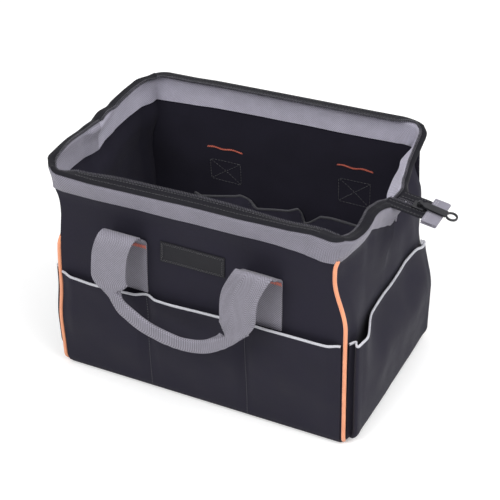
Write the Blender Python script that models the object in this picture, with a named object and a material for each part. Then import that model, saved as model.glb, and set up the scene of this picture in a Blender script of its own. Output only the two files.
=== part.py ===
"""Wide mouth tool bag with a hinged steel mouth frame, standing open on its base.

Metres, +Z up, X along the bag, the front towards -Y. The base stands on z = 0.
"""
import math

import bpy
import bmesh
from mathutils import Matrix, Vector

# Driving sizes of the bag
LENGTH = 0.325
DEPTH = 0.205
RIM_Z = 0.258
FOLD_Z = 0.1145
POCKET_TOP = 0.1280
FABRIC = 0.0020
FIT = 0.0003

# Mouth frame: U-shaped tubes lapped at the ends
TUBE_R = 0.0025
PIVOT_DROP = 0.020
FRAME_INSET = 0.0029
FRAME_LAP = 0.0054
FRAME_BEND_R = 0.008
LUG_HALF_T = 0.0012
LUG_HALF_W = 0.0034
LUG_LENGTH = 0.016
LUG_PAST_PIVOT = 0.0045
LUG_NEAR_PIVOT = 0.0040
DRILL_REACH = 0.010
RIVET_HOLE_R = 0.0018
RIVET_SHANK_R = 0.0015
RIVET_HEAD_R = 0.0031
RIVET_HEAD_T = 0.0017

# Webbing casing round the mouth
CASING_T = 0.0012
CASING_DROP = 0.030
CASING_END_GAP = 0.0036
LEFT_BOW = 0.0065
BOW_FROM = 0.0860
BOW_RUN = 0.0340
BOW_STEPS = 5
GUSSET_STOPS = (0.0385, 0.025, 0.0125)
PIVOT_HALF_W = 0.0053
PIVOT_HALF_H = 0.0060
PIVOT_ZONE = 0.012
PIVOT_BLEND = 0.018
HEM_BELOW_LEG = 0.0062
NOTCH_GAP = 0.0017
PIVOT_STOPS = (0.026, 0.022, 0.018, 0.014, 0.010, FIT / 2)

# Zipper tape that lies inward on the casing
TAPE_T = 0.0009
TAPE_REACH = 0.0118
TAPE_RISE = 0.0009
COIL_W = 0.0024
COIL_T = 0.0022

# Corner piping, which folds just above the end pockets
PIPING_R = 0.0021
PIPING_FOLD_RISE = 0.0060

# Outer pockets
POCKET_T = 0.0012
POCKET_BOTTOM = 0.0040
FLAT_POCKET_DEPTH = 0.0062
FLAT_POCKET_RAMP = 0.014
FLAT_POCKET_INSET = 0.0013
STITCH_LINES = (-0.0565, 0.0545)
LEFT_POCKET_DEPTH = 0.0084
RIGHT_POCKET_DEPTH = 0.0155
POCKET_RIM_DEPTH = 0.0084
RIM_DRAWN_FROM = 0.45
RIM_DRAWN_BY = 0.92
POCKET_FULL_AT = 0.36
END_POCKET_INSET = 0.0021
PLEAT = 0.0065
RIM_STANDOFF = 0.0017
BINDING_T = 0.0008
BINDING_DROP = 0.0045

# Inner pockets on the rear wall
INNER_TOP = 0.1120
INNER_HALF = 0.1080
INNER_DEPTH = 0.0085
INNER_LINES = (-0.040, 0.023)

# Handles
WEBBING_W = 0.040
WEBBING_T = 0.0016
STRAP_X = 0.075
STRAP_BOTTOM = 0.1300
SEWN_TOP = 0.1880
CREST_GAP = 0.0011
HINGE_THIN = 0.5
HINGE_TIP = 0.0018
CREST_Y = 0.0175
CREST_Z = 0.2070
GRIP_EDGE = 0.0022
GRIP_W = 0.0140
GRIP_T = 0.0052
HANDLE_OUT = 0.0176
HANDLE_DROP = 0.1022

# Name patch, left bare
PATCH_W = 0.072
PATCH_H = 0.026
PATCH_X = -0.004
PATCH_Z = 0.1880

# Zipper tail, slider and pull
TAIL_START = 0.0040
TAIL_LIFT = 0.0080
TAIL_DROOP = math.radians(8.0)
TAIL_STRAIGHT = 0.0360
TAIL_HALF_W = 0.0155
SLIT_HALF = 0.0018
CHAIN_W = 0.0026
CHAIN_T = 0.0030
END_TAB_L = 0.0165
SLIDER_L = 0.012
SLIDER_S = 0.0310
PIN_R = 0.00075
PIN_H = 0.0054
PULL_L = 0.0290
PULL_W = 0.0088
PULL_T = 0.0018
PULL_REST = math.radians(3.2)
RING_R = 0.0062
RING_HOLE_R = 0.0046

# Base
BASE_T = 0.0022
BOARD_T = 0.0030
BASE_CORNER_R = 0.004

HALF_L = LENGTH / 2
HALF_D = DEPTH / 2
BAR_Y = HALF_D - FABRIC / 2
FRONT_LEG_X = HALF_L - FRAME_INSET
REAR_LEG_X = FRONT_LEG_X - FRAME_LAP
PIVOT_Z = RIM_Z - PIVOT_DROP
LOWER_Z = BASE_T + FIT
ROLL_IN = TUBE_R + FIT
PIPING_X = HALF_L - FIT
PIPING_Y = HALF_D - FIT
PANEL_EDGE_X = PIPING_X - PIPING_R - FIT
PANEL_EDGE_Y = PIPING_Y - PIPING_R - FIT
FOLD_GAP = 0.0005
END_POCKET_HALF = PANEL_EDGE_Y - END_POCKET_INSET
FLAT_POCKET_HALF = PANEL_EDGE_X - FLAT_POCKET_INSET
NOTCH_Z = RIM_Z - CASING_DROP - NOTCH_GAP
PIPING_FOLD_Z = POCKET_TOP + PIPING_FOLD_RISE


def clear_scene():
    for obj in list(bpy.data.objects):
        bpy.data.objects.remove(obj, do_unlink=True)


def material(name, color, metallic=0.0, roughness=0.8):
    mat = bpy.data.materials.new(name)
    mat.use_nodes = True
    shader = mat.node_tree.nodes["Principled BSDF"]
    shader.inputs["Base Color"].default_value = (*color, 1.0)
    shader.inputs["Metallic"].default_value = metallic
    shader.inputs["Roughness"].default_value = roughness
    mat.diffuse_color = (*color, 1.0)
    return mat


CLOTH = (0.020, 0.019, 0.024)
LINING = (0.012, 0.012, 0.014)
WEBBING = (0.205, 0.205, 0.215)
BLACK = (0.010, 0.010, 0.011)
ORANGE = (0.640, 0.115, 0.030)
BINDING = (0.360, 0.360, 0.380)
STEEL = (0.450, 0.450, 0.460)


def face_outward(bm):
    bmesh.ops.recalc_face_normals(bm, faces=bm.faces[:])
    if bm.calc_volume(signed=True) < 0:
        bmesh.ops.reverse_faces(bm, faces=bm.faces[:])


def finish(name, bm, color, metallic=0.0, roughness=0.8, origin=None):
    """Turn a bmesh into one named object with its own material and origin."""
    face_outward(bm)
    mesh = bpy.data.meshes.new(name)
    bm.to_mesh(mesh)
    bm.free()
    obj = bpy.data.objects.new(name, mesh)
    bpy.context.scene.collection.objects.link(obj)
    mesh.materials.append(material(name, color, metallic, roughness))
    if origin is not None:
        mesh.transform(Matrix.Translation(-Vector(origin)))
        obj.location = origin
    return obj


def loft(sections):
    """Closed solid through closed loops of points, capped at both ends."""
    bm = bmesh.new()
    rings = [[bm.verts.new(p) for p in loop] for loop in sections]
    count = len(rings[0])
    for low, high in zip(rings, rings[1:]):
        for i in range(count):
            j = (i + 1) % count
            bm.faces.new((low[i], low[j], high[j], high[i]))
    bm.faces.new(list(reversed(rings[0])))
    bm.faces.new(rings[-1])
    return bm


def box(low, high):
    x0, y0, z0 = low
    x1, y1, z1 = high
    bottom = [(x0, y0, z0), (x1, y0, z0), (x1, y1, z0), (x0, y1, z0)]
    top = [(x, y, z1) for x, y, _ in bottom]
    return loft([bottom, top])


def plate(outline, z0, z1):
    return loft([[(x, y, z0) for x, y in outline], [(x, y, z1) for x, y in outline]])


def rounded_rectangle(half_x, half_y, radius, steps=6):
    points = []
    for sx, sy, start in ((1, 1, 0), (-1, 1, 90), (-1, -1, 180), (1, -1, 270)):
        for k in range(steps + 1):
            angle = math.radians(start + 90 * k / steps)
            x = sx * (half_x - radius) + radius * math.cos(angle)
            y = sy * (half_y - radius) + radius * math.sin(angle)
            points.append((x, y))
    return points


def direction(line, index):
    """Unit direction of a line of points at one of them, the mean of its two spans."""
    total = Vector(line[index]) * 0
    if index > 0:
        total += (line[index] - line[index - 1]).normalized()
    if index < len(line) - 1:
        total += (line[index + 1] - line[index]).normalized()
    return total.normalized()


def thick_sheet(rows, thickness):
    """Closed solid from a grid of points and their offset along the grid's normals."""
    grid = [[Vector(p) for p in row] for row in rows]
    last_i = len(grid) - 1
    last_j = len(grid[0]) - 1
    bm = bmesh.new()
    front = []
    back = []
    for i, row in enumerate(grid):
        front_row = []
        back_row = []
        for j, point in enumerate(row):
            column = [line[j] for line in grid]
            normal = direction(row, j).cross(direction(column, i)).normalized()
            front_row.append(bm.verts.new(point))
            back_row.append(bm.verts.new(point + normal * thickness))
        front.append(front_row)
        back.append(back_row)
    for i in range(last_i):
        for j in range(last_j):
            a, b, c, d = (i, j), (i, j + 1), (i + 1, j + 1), (i + 1, j)
            bm.faces.new([front[r][s] for r, s in (a, d, c, b)])
            bm.faces.new([back[r][s] for r, s in (a, b, c, d)])
    for j in range(last_j):
        bm.faces.new((front[0][j], front[0][j + 1], back[0][j + 1], back[0][j]))
        bm.faces.new((front[last_i][j + 1], front[last_i][j], back[last_i][j], back[last_i][j + 1]))
    for i in range(last_i):
        bm.faces.new((front[i + 1][0], front[i][0], back[i][0], back[i + 1][0]))
        bm.faces.new((front[i][last_j], front[i + 1][last_j], back[i + 1][last_j], back[i][last_j]))
    return bm


def cylinder(start, end, radius, sides=20):
    start = Vector(start)
    end = Vector(end)
    turn = (end - start).to_track_quat("Z", "Y")
    loops = []
    for centre in (start, end):
        ring = []
        for k in range(sides):
            angle = 2 * math.pi * k / sides
            offset = Vector((radius * math.cos(angle), radius * math.sin(angle), 0))
            ring.append(centre + turn @ offset)
        loops.append(ring)
    return loft(loops)


def combine(first, others, operation):
    """Boolean a bmesh with others and give back one bmesh."""
    def holder(bm):
        face_outward(bm)
        mesh = bpy.data.meshes.new("holder")
        bm.to_mesh(mesh)
        bm.free()
        obj = bpy.data.objects.new("holder", mesh)
        bpy.context.scene.collection.objects.link(obj)
        return obj

    target = holder(first)
    tools = [holder(bm) for bm in others]
    for tool in tools:
        cut = target.modifiers.new("cut", "BOOLEAN")
        cut.operation = operation
        cut.solver = "EXACT"
        cut.object = tool
    graph = bpy.context.evaluated_depsgraph_get()
    mesh = bpy.data.meshes.new_from_object(target.evaluated_get(graph))
    result = bmesh.new()
    result.from_mesh(mesh)
    bmesh.ops.remove_doubles(result, verts=result.verts[:], dist=0.000002)
    for obj in [target] + tools:
        bpy.data.objects.remove(obj, do_unlink=True)
    return result


def smooth(value):
    value = min(max(value, 0.0), 1.0)
    return value * value * (3 - 2 * value)


def lerp(a, b, t):
    return a + (b - a) * t


# Lines of the mouth frame

def leg_z(y):
    """Height of a leg's centre line at a distance y from the middle of the bag."""
    return RIM_Z - PIVOT_DROP * (1 - abs(y) / BAR_Y)


def leg_line(end):
    return FRONT_LEG_X if end < 0 else REAR_LEG_X


def bow(side, y):
    """How far the mouth's left end bows outward; its corners and its right end stay straight."""
    if side > 0:
        return 0.0
    return LEFT_BOW * smooth((BOW_FROM - abs(y)) / BOW_RUN)


def bow_stops(side):
    """Distances from the middle at which every leg piece has a section along the bow."""
    steps = 1 if side > 0 else BOW_STEPS
    return [BOW_FROM - BOW_RUN * k / steps for k in range(steps + 1)]


def casing_end(end):
    return leg_line(end) - FRAME_BEND_R - CASING_END_GAP


def corner_path(leg_x, side, end, end_y):
    """Centre line from the bar round the bend and down one leg, with inward normals."""
    path = []
    steps = 4
    centre = Vector((side * (leg_x - FRAME_BEND_R), end * (BAR_Y - FRAME_BEND_R)))
    for k in range(steps + 1):
        angle = math.radians(90 * k / steps)
        out = Vector((side * math.sin(angle), end * math.cos(angle)))
        spot = centre + out * FRAME_BEND_R
        path.append((spot.x, spot.y, -out))
    inward = Vector((-side, 0))
    for y_out in bow_stops(side) + [end_y]:
        y = end * y_out
        path.append((side * (leg_x + bow(side, y)), y, inward))
    return path


def tube_half(leg_x, side, end, lug_shift):
    """Rings of a frame tube from its bar round the bend and down one leg to the lug."""
    half = []
    for x, y, inward in corner_path(leg_x, side, end, LUG_LENGTH * 1.6):
        half.append((Vector((x, y, leg_z(y))), inward))
    for y_out in (LUG_LENGTH * 1.1, LUG_LENGTH * 0.7, LUG_NEAR_PIVOT, -LUG_PAST_PIVOT):
        height = RIM_Z - PIVOT_DROP * (1 - y_out / BAR_Y)
        spot = Vector((side * (leg_x + bow(side, y_out)), end * y_out, height))
        half.append((spot, Vector((-side, 0))))
    sides = 12
    rings = []
    for spot, inward in half:
        out = Vector((inward.x, inward.y, 0))
        flat = smooth((LUG_LENGTH * 1.6 - end * spot.y) / (LUG_LENGTH * 0.9))
        half_n = lerp(TUBE_R, LUG_HALF_T, flat)
        half_v = lerp(TUBE_R, LUG_HALF_W, flat)
        shift = lug_shift * flat
        ring = []
        for k in range(sides):
            angle = 2 * math.pi * (k + 0.5) / sides
            n = half_n * math.cos(angle) + shift
            ring.append(spot + out * n + Vector((0, 0, half_v * math.sin(angle))))
        rings.append(ring)
    return rings


def frame_tube(name, leg_x, end, lug_shift):
    """U-shaped tube: a bar, two bends and two legs that end in flat drilled lugs."""
    left = tube_half(leg_x, -1, end, lug_shift)
    right = tube_half(leg_x, 1, end, lug_shift)
    tube = loft(list(reversed(left)) + right)
    drills = []
    for side in (-1, 1):
        middle = leg_x + bow(side, 0)
        start = (side * (middle - DRILL_REACH), 0, PIVOT_Z)
        stop = (side * (middle + DRILL_REACH), 0, PIVOT_Z)
        drills.append(cylinder(start, stop, RIVET_HOLE_R))
    bm = combine(tube, drills, "DIFFERENCE")
    return finish(name, bm, STEEL, 1.0, 0.35, (0, end * BAR_Y, RIM_Z))


def rivet(name, side, face_x, outward):
    """Turned head with a shank that goes through one lug."""
    profile = (
        (-2 * LUG_HALF_T - FIT, RIVET_SHANK_R),
        (0.0, RIVET_SHANK_R),
        (0.0, RIVET_HEAD_R),
        (RIVET_HEAD_T * 0.45, RIVET_HEAD_R),
        (RIVET_HEAD_T * 0.8, RIVET_HEAD_R * 0.75),
        (RIVET_HEAD_T, RIVET_HEAD_R * 0.35),
    )
    loops = []
    sides = 18
    face_x += bow(side, 0)
    for along, radius in profile:
        ring = []
        for k in range(sides):
            angle = 2 * math.pi * k / sides
            x = side * (face_x + outward * (FIT + along))
            ring.append((x, radius * math.cos(angle), PIVOT_Z + radius * math.sin(angle)))
        loops.append(ring)
    return finish(name, loft(loops), STEEL, 1.0, 0.3, (side * face_x, 0, PIVOT_Z))


# Webbing casing and zipper tape round the mouth

def casing_profile(half_w, half_h):
    """Webbing folded over the tube: a roll on top and two plies closing on the fabric."""
    hem = FABRIC / 2 + FIT
    arc = 6
    inner = [(-hem, -CASING_DROP)]
    outer = [(hem + CASING_T, -CASING_DROP)]
    for k in range(arc + 1):
        angle = math.pi * (1 - k / arc)
        inner.append((half_w * math.cos(angle), half_h * math.sin(angle)))
    inner.append((hem, -CASING_DROP))
    for k in range(arc + 1):
        angle = math.pi * k / arc
        x = (half_w + CASING_T) * math.cos(angle)
        outer.append((x, (half_h + CASING_T) * math.sin(angle)))
    outer.append((-hem - CASING_T, -CASING_DROP))
    return inner + outer


def tape_profile(half_w, half_h):
    """Zipper tape over the roll, reaching inward to its coil."""
    low_w = half_w + CASING_T + FIT
    low_h = half_h + CASING_T + FIT
    lower = []
    upper = []
    for degrees in (155, 130, 105, 82):
        angle = math.radians(degrees)
        lower.append((low_w * math.cos(angle), low_h * math.sin(angle)))
        upper.append(((low_w + TAPE_T) * math.cos(angle), (low_h + TAPE_T) * math.sin(angle)))
    coil_low = low_h + TAPE_RISE - (COIL_T - TAPE_T) / 2
    coil_start = TAPE_REACH - COIL_W
    lower.append((coil_start - 0.0006, low_h + TAPE_RISE))
    upper.append((coil_start - 0.0006, low_h + TAPE_RISE + TAPE_T))
    lower.append((coil_start, coil_low))
    upper.append((coil_start, coil_low + COIL_T))
    lower.append((TAPE_REACH - 0.0005, coil_low))
    upper.append((TAPE_REACH - 0.0005, coil_low + COIL_T))
    lower.append((TAPE_REACH, coil_low + COIL_T * 0.35))
    upper.append((TAPE_REACH, coil_low + COIL_T * 0.65))
    return lower + list(reversed(upper))


def place(profile, x, y, z, inward):
    return [(x + n * inward.x, y + n * inward.y, z + v) for n, v in profile]


def long_casing(name, end):
    profile = casing_profile(ROLL_IN, ROLL_IN)
    inward = Vector((0, -end))
    ends = (-casing_end(end), casing_end(end))
    bm = loft([place(profile, x, end * BAR_Y, RIM_Z, inward) for x in ends])
    return finish(name, bm, WEBBING, roughness=0.9)


def pivot_share(y):
    return 1 - smooth((abs(y) - PIVOT_ZONE) / PIVOT_BLEND)


def leg_casing(name, side, end):
    """Casing from the bar's end round the corner to the middle of the bag's end."""
    leg_x = leg_line(end)
    middle_x = (FRONT_LEG_X + REAR_LEG_X) / 2
    start = (side * (casing_end(end) + FIT), end * BAR_Y, Vector((0, -end)))
    stations = [start] + corner_path(leg_x, side, end, PIVOT_ZONE + PIVOT_BLEND)
    for y_out in PIVOT_STOPS:
        stations.append((side * (leg_x + bow(side, y_out)), end * y_out, Vector((-side, 0))))
    loops = []
    for x, y, inward in stations:
        share = pivot_share(y)
        profile = casing_profile(lerp(ROLL_IN, PIVOT_HALF_W, share), lerp(ROLL_IN, PIVOT_HALF_H, share))
        x += side * (middle_x - leg_x) * share
        loops.append(place(profile, x, y, leg_z(y), inward))
    return finish(name, loft(loops), WEBBING, roughness=0.9)


def mitre_loop(profile, x, y, z, side, end, slide):
    """Tape section on the diagonal of a corner, moved a little along x or y."""
    loop = []
    for n, v in profile:
        loop.append((x - side * n + slide[0], y - end * n + slide[1], z + v))
    return loop


def long_tape(name, end):
    leg_x = leg_line(end)
    profile = tape_profile(ROLL_IN, ROLL_IN)
    loops = []
    for side in (-1, 1):
        slide = (-side * FIT, 0)
        loops.append(mitre_loop(profile, side * leg_x, end * BAR_Y, RIM_Z, side, end, slide))
    return finish(name, loft(loops), BLACK, roughness=0.75)


def leg_tape(name, side, end):
    leg_x = leg_line(end)
    middle_x = (FRONT_LEG_X + REAR_LEG_X) / 2
    profile = tape_profile(ROLL_IN, ROLL_IN)
    slide = (0, -end * FIT)
    loops = [mitre_loop(profile, side * leg_x, end * BAR_Y, RIM_Z, side, end, slide)]
    inward = Vector((-side, 0))
    for y_out in bow_stops(side) + [PIVOT_ZONE + PIVOT_BLEND] + list(PIVOT_STOPS):
        y = end * y_out
        share = pivot_share(y)
        profile = tape_profile(lerp(ROLL_IN, PIVOT_HALF_W, share), lerp(ROLL_IN, PIVOT_HALF_H, share))
        x = side * (lerp(leg_x, middle_x, share) + bow(side, y))
        loops.append(place(profile, x, y, leg_z(y), inward))
    return finish(name, loft(loops), BLACK, roughness=0.75)


# Fabric box

def base_panel():
    outline = rounded_rectangle(HALF_L + FIT, HALF_D + FIT, BASE_CORNER_R)
    return finish("base_panel", plate(outline, 0, BASE_T), CLOTH)


def base_board():
    inset = FABRIC + 0.003
    outline = rounded_rectangle(HALF_L - inset, HALF_D - inset, BASE_CORNER_R)
    return finish("base_board", plate(outline, LOWER_Z, LOWER_Z + BOARD_T), LINING)


def lower_panel(name, end):
    faces = sorted((end * HALF_D, end * (HALF_D - FABRIC)))
    top = FOLD_Z - FOLD_GAP
    bm = box((-PANEL_EDGE_X, faces[0], LOWER_Z), (PANEL_EDGE_X, faces[1], top))
    return finish(name, bm, CLOTH)


def lower_end_panel(name, side):
    faces = sorted((side * HALF_L, side * (HALF_L - FABRIC)))
    top = FOLD_Z - FOLD_GAP
    bm = box((faces[0], -PANEL_EDGE_Y, LOWER_Z), (faces[1], PANEL_EDGE_Y, top))
    return finish(name, bm, CLOTH)


def upper_panel(name, end):
    """Upper wall panel with its top corners cut away for the casing's corners."""
    top = RIM_Z - ROLL_IN
    low = FOLD_Z + FOLD_GAP
    cut = casing_end(end) - FIT
    outline = (
        (-PANEL_EDGE_X, low),
        (PANEL_EDGE_X, low),
        (PANEL_EDGE_X, NOTCH_Z),
        (cut, NOTCH_Z),
        (cut, top),
        (-cut, top),
        (-cut, NOTCH_Z),
        (-PANEL_EDGE_X, NOTCH_Z),
    )
    loops = []
    for y in (end * HALF_D, end * (HALF_D - FABRIC)):
        loops.append([(x, y, z) for x, z in outline])
    return finish(name, loft(loops), CLOTH, origin=(0, end * BAR_Y, FOLD_Z))


def piping(name, side, end, z0, z1, origin=None):
    start = (side * PIPING_X, end * PIPING_Y, z0)
    stop = (side * PIPING_X, end * PIPING_Y, z1)
    return finish(name, cylinder(start, stop, PIPING_R, 14), ORANGE, roughness=0.6, origin=origin)


def end_gusset(name, side):
    """Soft end wall between the two hinged walls, its top edge held in the leg casings."""
    rows = []
    levels = 10
    low = FOLD_Z + FOLD_GAP
    middle_x = (FRONT_LEG_X + REAR_LEG_X) / 2
    wall_x = HALF_L - FABRIC / 2
    hem_y = BAR_Y - FRAME_BEND_R - FIT
    half = [1.0] + [y / hem_y for y in bow_stops(side) + list(GUSSET_STOPS)]
    columns = [-share for share in half] + [0.0] + list(reversed(half))
    for i in range(levels + 1):
        row = []
        for across in columns:
            top_here = leg_z(across * hem_y) - HEM_BELOW_LEG
            z = lerp(low, top_here, i / levels)
            narrow = smooth((z - (NOTCH_Z - 0.012)) / 0.010)
            y = across * lerp(PANEL_EDGE_Y, hem_y, narrow)
            leg_x = leg_line(-1 if y < 0 else 1)
            hem_x = lerp(leg_x, middle_x, pivot_share(y)) + bow(side, y)
            casing_low = leg_z(y) - CASING_DROP
            rise = smooth((z - (casing_low - 0.050)) / 0.036)
            x = lerp(wall_x, hem_x, rise)
            row.append((side * x - side * FABRIC / 2, y, z))
        rows.append(row if side > 0 else list(reversed(row)))
    return finish(name, thick_sheet(rows, FABRIC), CLOTH)


# Pockets

def flat_rim(x, half, lines, depth):
    """Stand-off of a flat pocket's sheet at its rim: low at the seams, full between them."""
    seams = (-half,) + tuple(lines) + (half,)
    nearest = min(abs(x - seam) for seam in seams)
    return lerp(RIM_STANDOFF, depth, smooth(nearest / FLAT_POCKET_RAMP))


def flat_columns(half, lines):
    seams = (-half,) + tuple(lines) + (half,)
    stops = set()
    for seam in seams:
        for k in range(-3, 4):
            x = seam + FLAT_POCKET_RAMP * k / 3
            if abs(x) <= half:
                stops.add(round(x, 6))
    return sorted(stops)


def flat_pocket(name, bind_name, end, face_y, outward, top, half, lines, depth, color):
    """Patch pocket on a long wall with its sewn dividers and a bound top edge."""
    sheet_top = top - BINDING_T - FIT
    columns = flat_columns(half, lines)
    rows = []
    for t in (0.0, 0.14, 0.32, 0.52, 0.76, 1.0, None):
        z = sheet_top if t is None else lerp(POCKET_BOTTOM, sheet_top - BINDING_DROP - FIT, t)
        t = 1.0 if t is None else t
        open_share = smooth(t * 1.6)
        row = []
        for x in columns:
            full = flat_rim(x, half, lines, depth)
            seam_share = smooth((t - 0.8) / 0.2)
            low = lerp(FIT, RIM_STANDOFF, seam_share)
            off = low + (full - RIM_STANDOFF) * open_share
            row.append((x, face_y + outward * off, z))
        rows.append(row if outward < 0 else list(reversed(row)))
    finish(name, thick_sheet(rows, POCKET_T), color)
    path = []
    for x in columns:
        off = flat_rim(x, half, lines, depth) + POCKET_T / 2
        path.append(Vector((x, face_y + outward * off)))
    return binding(bind_name, path, sheet_top)


def binding(name, path, sheet_top):
    """Folded tape over a pocket's top edge, following the edge in plan."""
    gap = POCKET_T / 2 + FIT
    wide = gap + BINDING_T
    high = FIT + BINDING_T
    profile = (
        (-gap, -BINDING_DROP),
        (-gap, FIT),
        (gap, FIT),
        (gap, -BINDING_DROP),
        (wide, -BINDING_DROP),
        (wide, high - 0.0003),
        (wide - 0.0003, high),
        (0.0003 - wide, high),
        (-wide, high - 0.0003),
        (-wide, -BINDING_DROP),
    )
    loops = []
    for i, spot in enumerate(path):
        along = direction(path, i)
        normal = Vector((-along.y, along.x))
        loops.append([(spot.x + n * normal.x, spot.y + n * normal.y, sheet_top + v) for n, v in profile])
    return finish(name, loft(loops), BINDING, roughness=0.7)


def pocket_depth(side, t):
    """Stand-off of an end pocket at a height share: it swells low down and its rim is drawn in."""
    deepest = LEFT_POCKET_DEPTH if side < 0 else RIGHT_POCKET_DEPTH
    swell = deepest * min(1.0, t / POCKET_FULL_AT) ** 0.55
    return lerp(swell, POCKET_RIM_DEPTH, smooth((t - RIM_DRAWN_FROM) / (RIM_DRAWN_BY - RIM_DRAWN_FROM)))


def bellows_plan(depth, share, standoff):
    """Plan of an end pocket from its front seam to its rear seam: y and stand-off."""
    seam = END_POCKET_HALF
    fold = lerp(seam - 0.003, seam - PLEAT, share)
    corner = lerp(seam - 0.007, seam - 0.0005, share)
    half = [
        (-seam, standoff),
        (-fold, standoff + max(depth - standoff, 0) * 0.48),
        (-corner, standoff + max(depth - standoff, 0) * 0.94),
        (-corner + 0.003, standoff + max(depth - standoff, 0)),
        (-0.062, standoff + max(depth - standoff, 0)),
        (-0.031, standoff + max(depth - standoff, 0)),
        (0.0, standoff + max(depth - standoff, 0)),
    ]
    return half + [(-y, off) for y, off in reversed(half[:-1])]


def end_pocket(name, bind_name, side):
    """Bellows pocket that stands off the end wall on folded pleats."""
    sheet_top = POCKET_TOP - BINDING_T - FIT
    heights = (0.0, 0.03, 0.07, 0.13, 0.22, 0.36, 0.52, 0.68, 0.82, 0.92, 1.0)
    rows = []
    for t in heights:
        share = min(1.0, t / POCKET_FULL_AT) ** 0.55
        standoff = lerp(FIT, RIM_STANDOFF, smooth((t - 0.7) / 0.3))
        z = lerp(POCKET_BOTTOM, sheet_top, t)
        plan = bellows_plan(pocket_depth(side, t), share, standoff)
        row = [(side * (HALF_L + off), y, z) for y, off in plan]
        rows.append(row if side > 0 else list(reversed(row)))
    finish(name, thick_sheet(rows, POCKET_T), CLOTH)
    path = []
    plan = bellows_plan(pocket_depth(side, 1.0), 1.0, RIM_STANDOFF)
    spots = [Vector((side * (HALF_L + off), y)) for y, off in plan]
    for i, spot in enumerate(spots):
        along = direction(spots, i)
        outward = Vector((along.y, -along.x)) * side
        path.append(spot + outward * POCKET_T / 2)
    return binding(bind_name, path, sheet_top)


# Handles

def strip(stations, half_w):
    """Flat webbing along a line in the YZ plane, width along X, thinned at its last station."""
    loops = []
    last = len(stations) - 1
    for i, (x, y, z) in enumerate(stations):
        ahead = Vector(stations[min(i + 1, last)])
        behind = Vector(stations[max(i - 1, 0)])
        along = (ahead - behind).normalized()
        thin = HINGE_THIN if i == last else 1.0
        normal = Vector((1, 0, 0)).cross(along) * thin * WEBBING_T / 2
        spot = Vector((x, y, z))
        wide = Vector((half_w, 0, 0))
        loops.append([spot - wide - normal, spot + wide - normal, spot + wide + normal, spot - wide + normal])
    return loft(loops)


def handle_anchor(name, side, end):
    """Sewn length of the strap, up the wall and out to the crest where the loop turns."""
    flat = HALF_D + FIT + WEBBING_T / 2
    reach = CREST_Y - FIT - WEBBING_T / 2
    rise = CREST_Z - SEWN_TOP
    line = (
        (flat, STRAP_BOTTOM),
        (flat, (STRAP_BOTTOM + SEWN_TOP) / 2),
        (flat, SEWN_TOP),
        (flat + reach * 0.04, SEWN_TOP + rise * 0.24),
        (flat + reach * 0.24, SEWN_TOP + rise * 0.50),
        (flat + reach * 0.56, SEWN_TOP + rise * 0.745),
        (flat + reach - 2 * CREST_GAP, CREST_Z - 2 * CREST_GAP),
        (flat + reach - CREST_GAP, CREST_Z - CREST_GAP),
    )
    stations = [(side * STRAP_X, end * y, z) for y, z in line]
    return finish(name, strip(stations, WEBBING_W / 2), WEBBING, roughness=0.9)


def catmull(points, per_span):
    """Smooth line through points of any number of values."""
    out = []
    count = len(points)
    for i in range(count - 1):
        p0 = points[max(i - 1, 0)]
        p1 = points[i]
        p2 = points[i + 1]
        p3 = points[min(i + 2, count - 1)]
        for k in range(per_span):
            t = k / per_span
            values = []
            for a, b, c, d in zip(p0, p1, p2, p3):
                values.append(0.5 * (2 * b + (c - a) * t + (2 * a - 5 * b + 4 * c - d) * t * t
                                     + (3 * b - a - 3 * c + d) * t ** 3))
            out.append(values)
    out.append(list(points[-1]))
    return out


# Handle line: share along to a strap, share out, share of the drop, width share, thickness share
HANDLE_SHAPE = (
    (-1.0, 0.03, -0.005, 1.0, 0.0),
    (-1.0, 0.23, -0.026, 1.0, 0.0),
    (-1.0, 0.49, -0.011, 1.0, 0.0),
    (-1.0, 0.66, 0.055, 1.0, 0.0),
    (-1.0, 0.78, 0.194, 1.0, 0.0),
    (-1.013, 0.88, 0.406, 1.0, 0.08),
    (-1.013, 0.93, 0.535, 0.61, 0.48),
    (-0.947, 0.96, 0.645, 0.18, 0.86),
    (-0.760, 0.98, 0.793, 0.0, 1.0),
    (-0.453, 0.99, 0.922, 0.0, 1.0),
    (-0.053, 1.00, 1.000, 0.0, 1.0),
    (0.320, 1.00, 0.977, 0.0, 1.0),
    (0.613, 0.99, 0.866, 0.0, 1.0),
    (0.880, 0.96, 0.682, 0.14, 0.86),
    (0.980, 0.93, 0.544, 0.57, 0.48),
    (1.0, 0.88, 0.406, 1.0, 0.08),
    (1.0, 0.78, 0.194, 1.0, 0.0),
    (1.0, 0.66, 0.055, 1.0, 0.0),
    (1.0, 0.49, -0.011, 1.0, 0.0),
    (1.0, 0.23, -0.026, 1.0, 0.0),
    (1.0, 0.03, -0.005, 1.0, 0.0),
)


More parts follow.
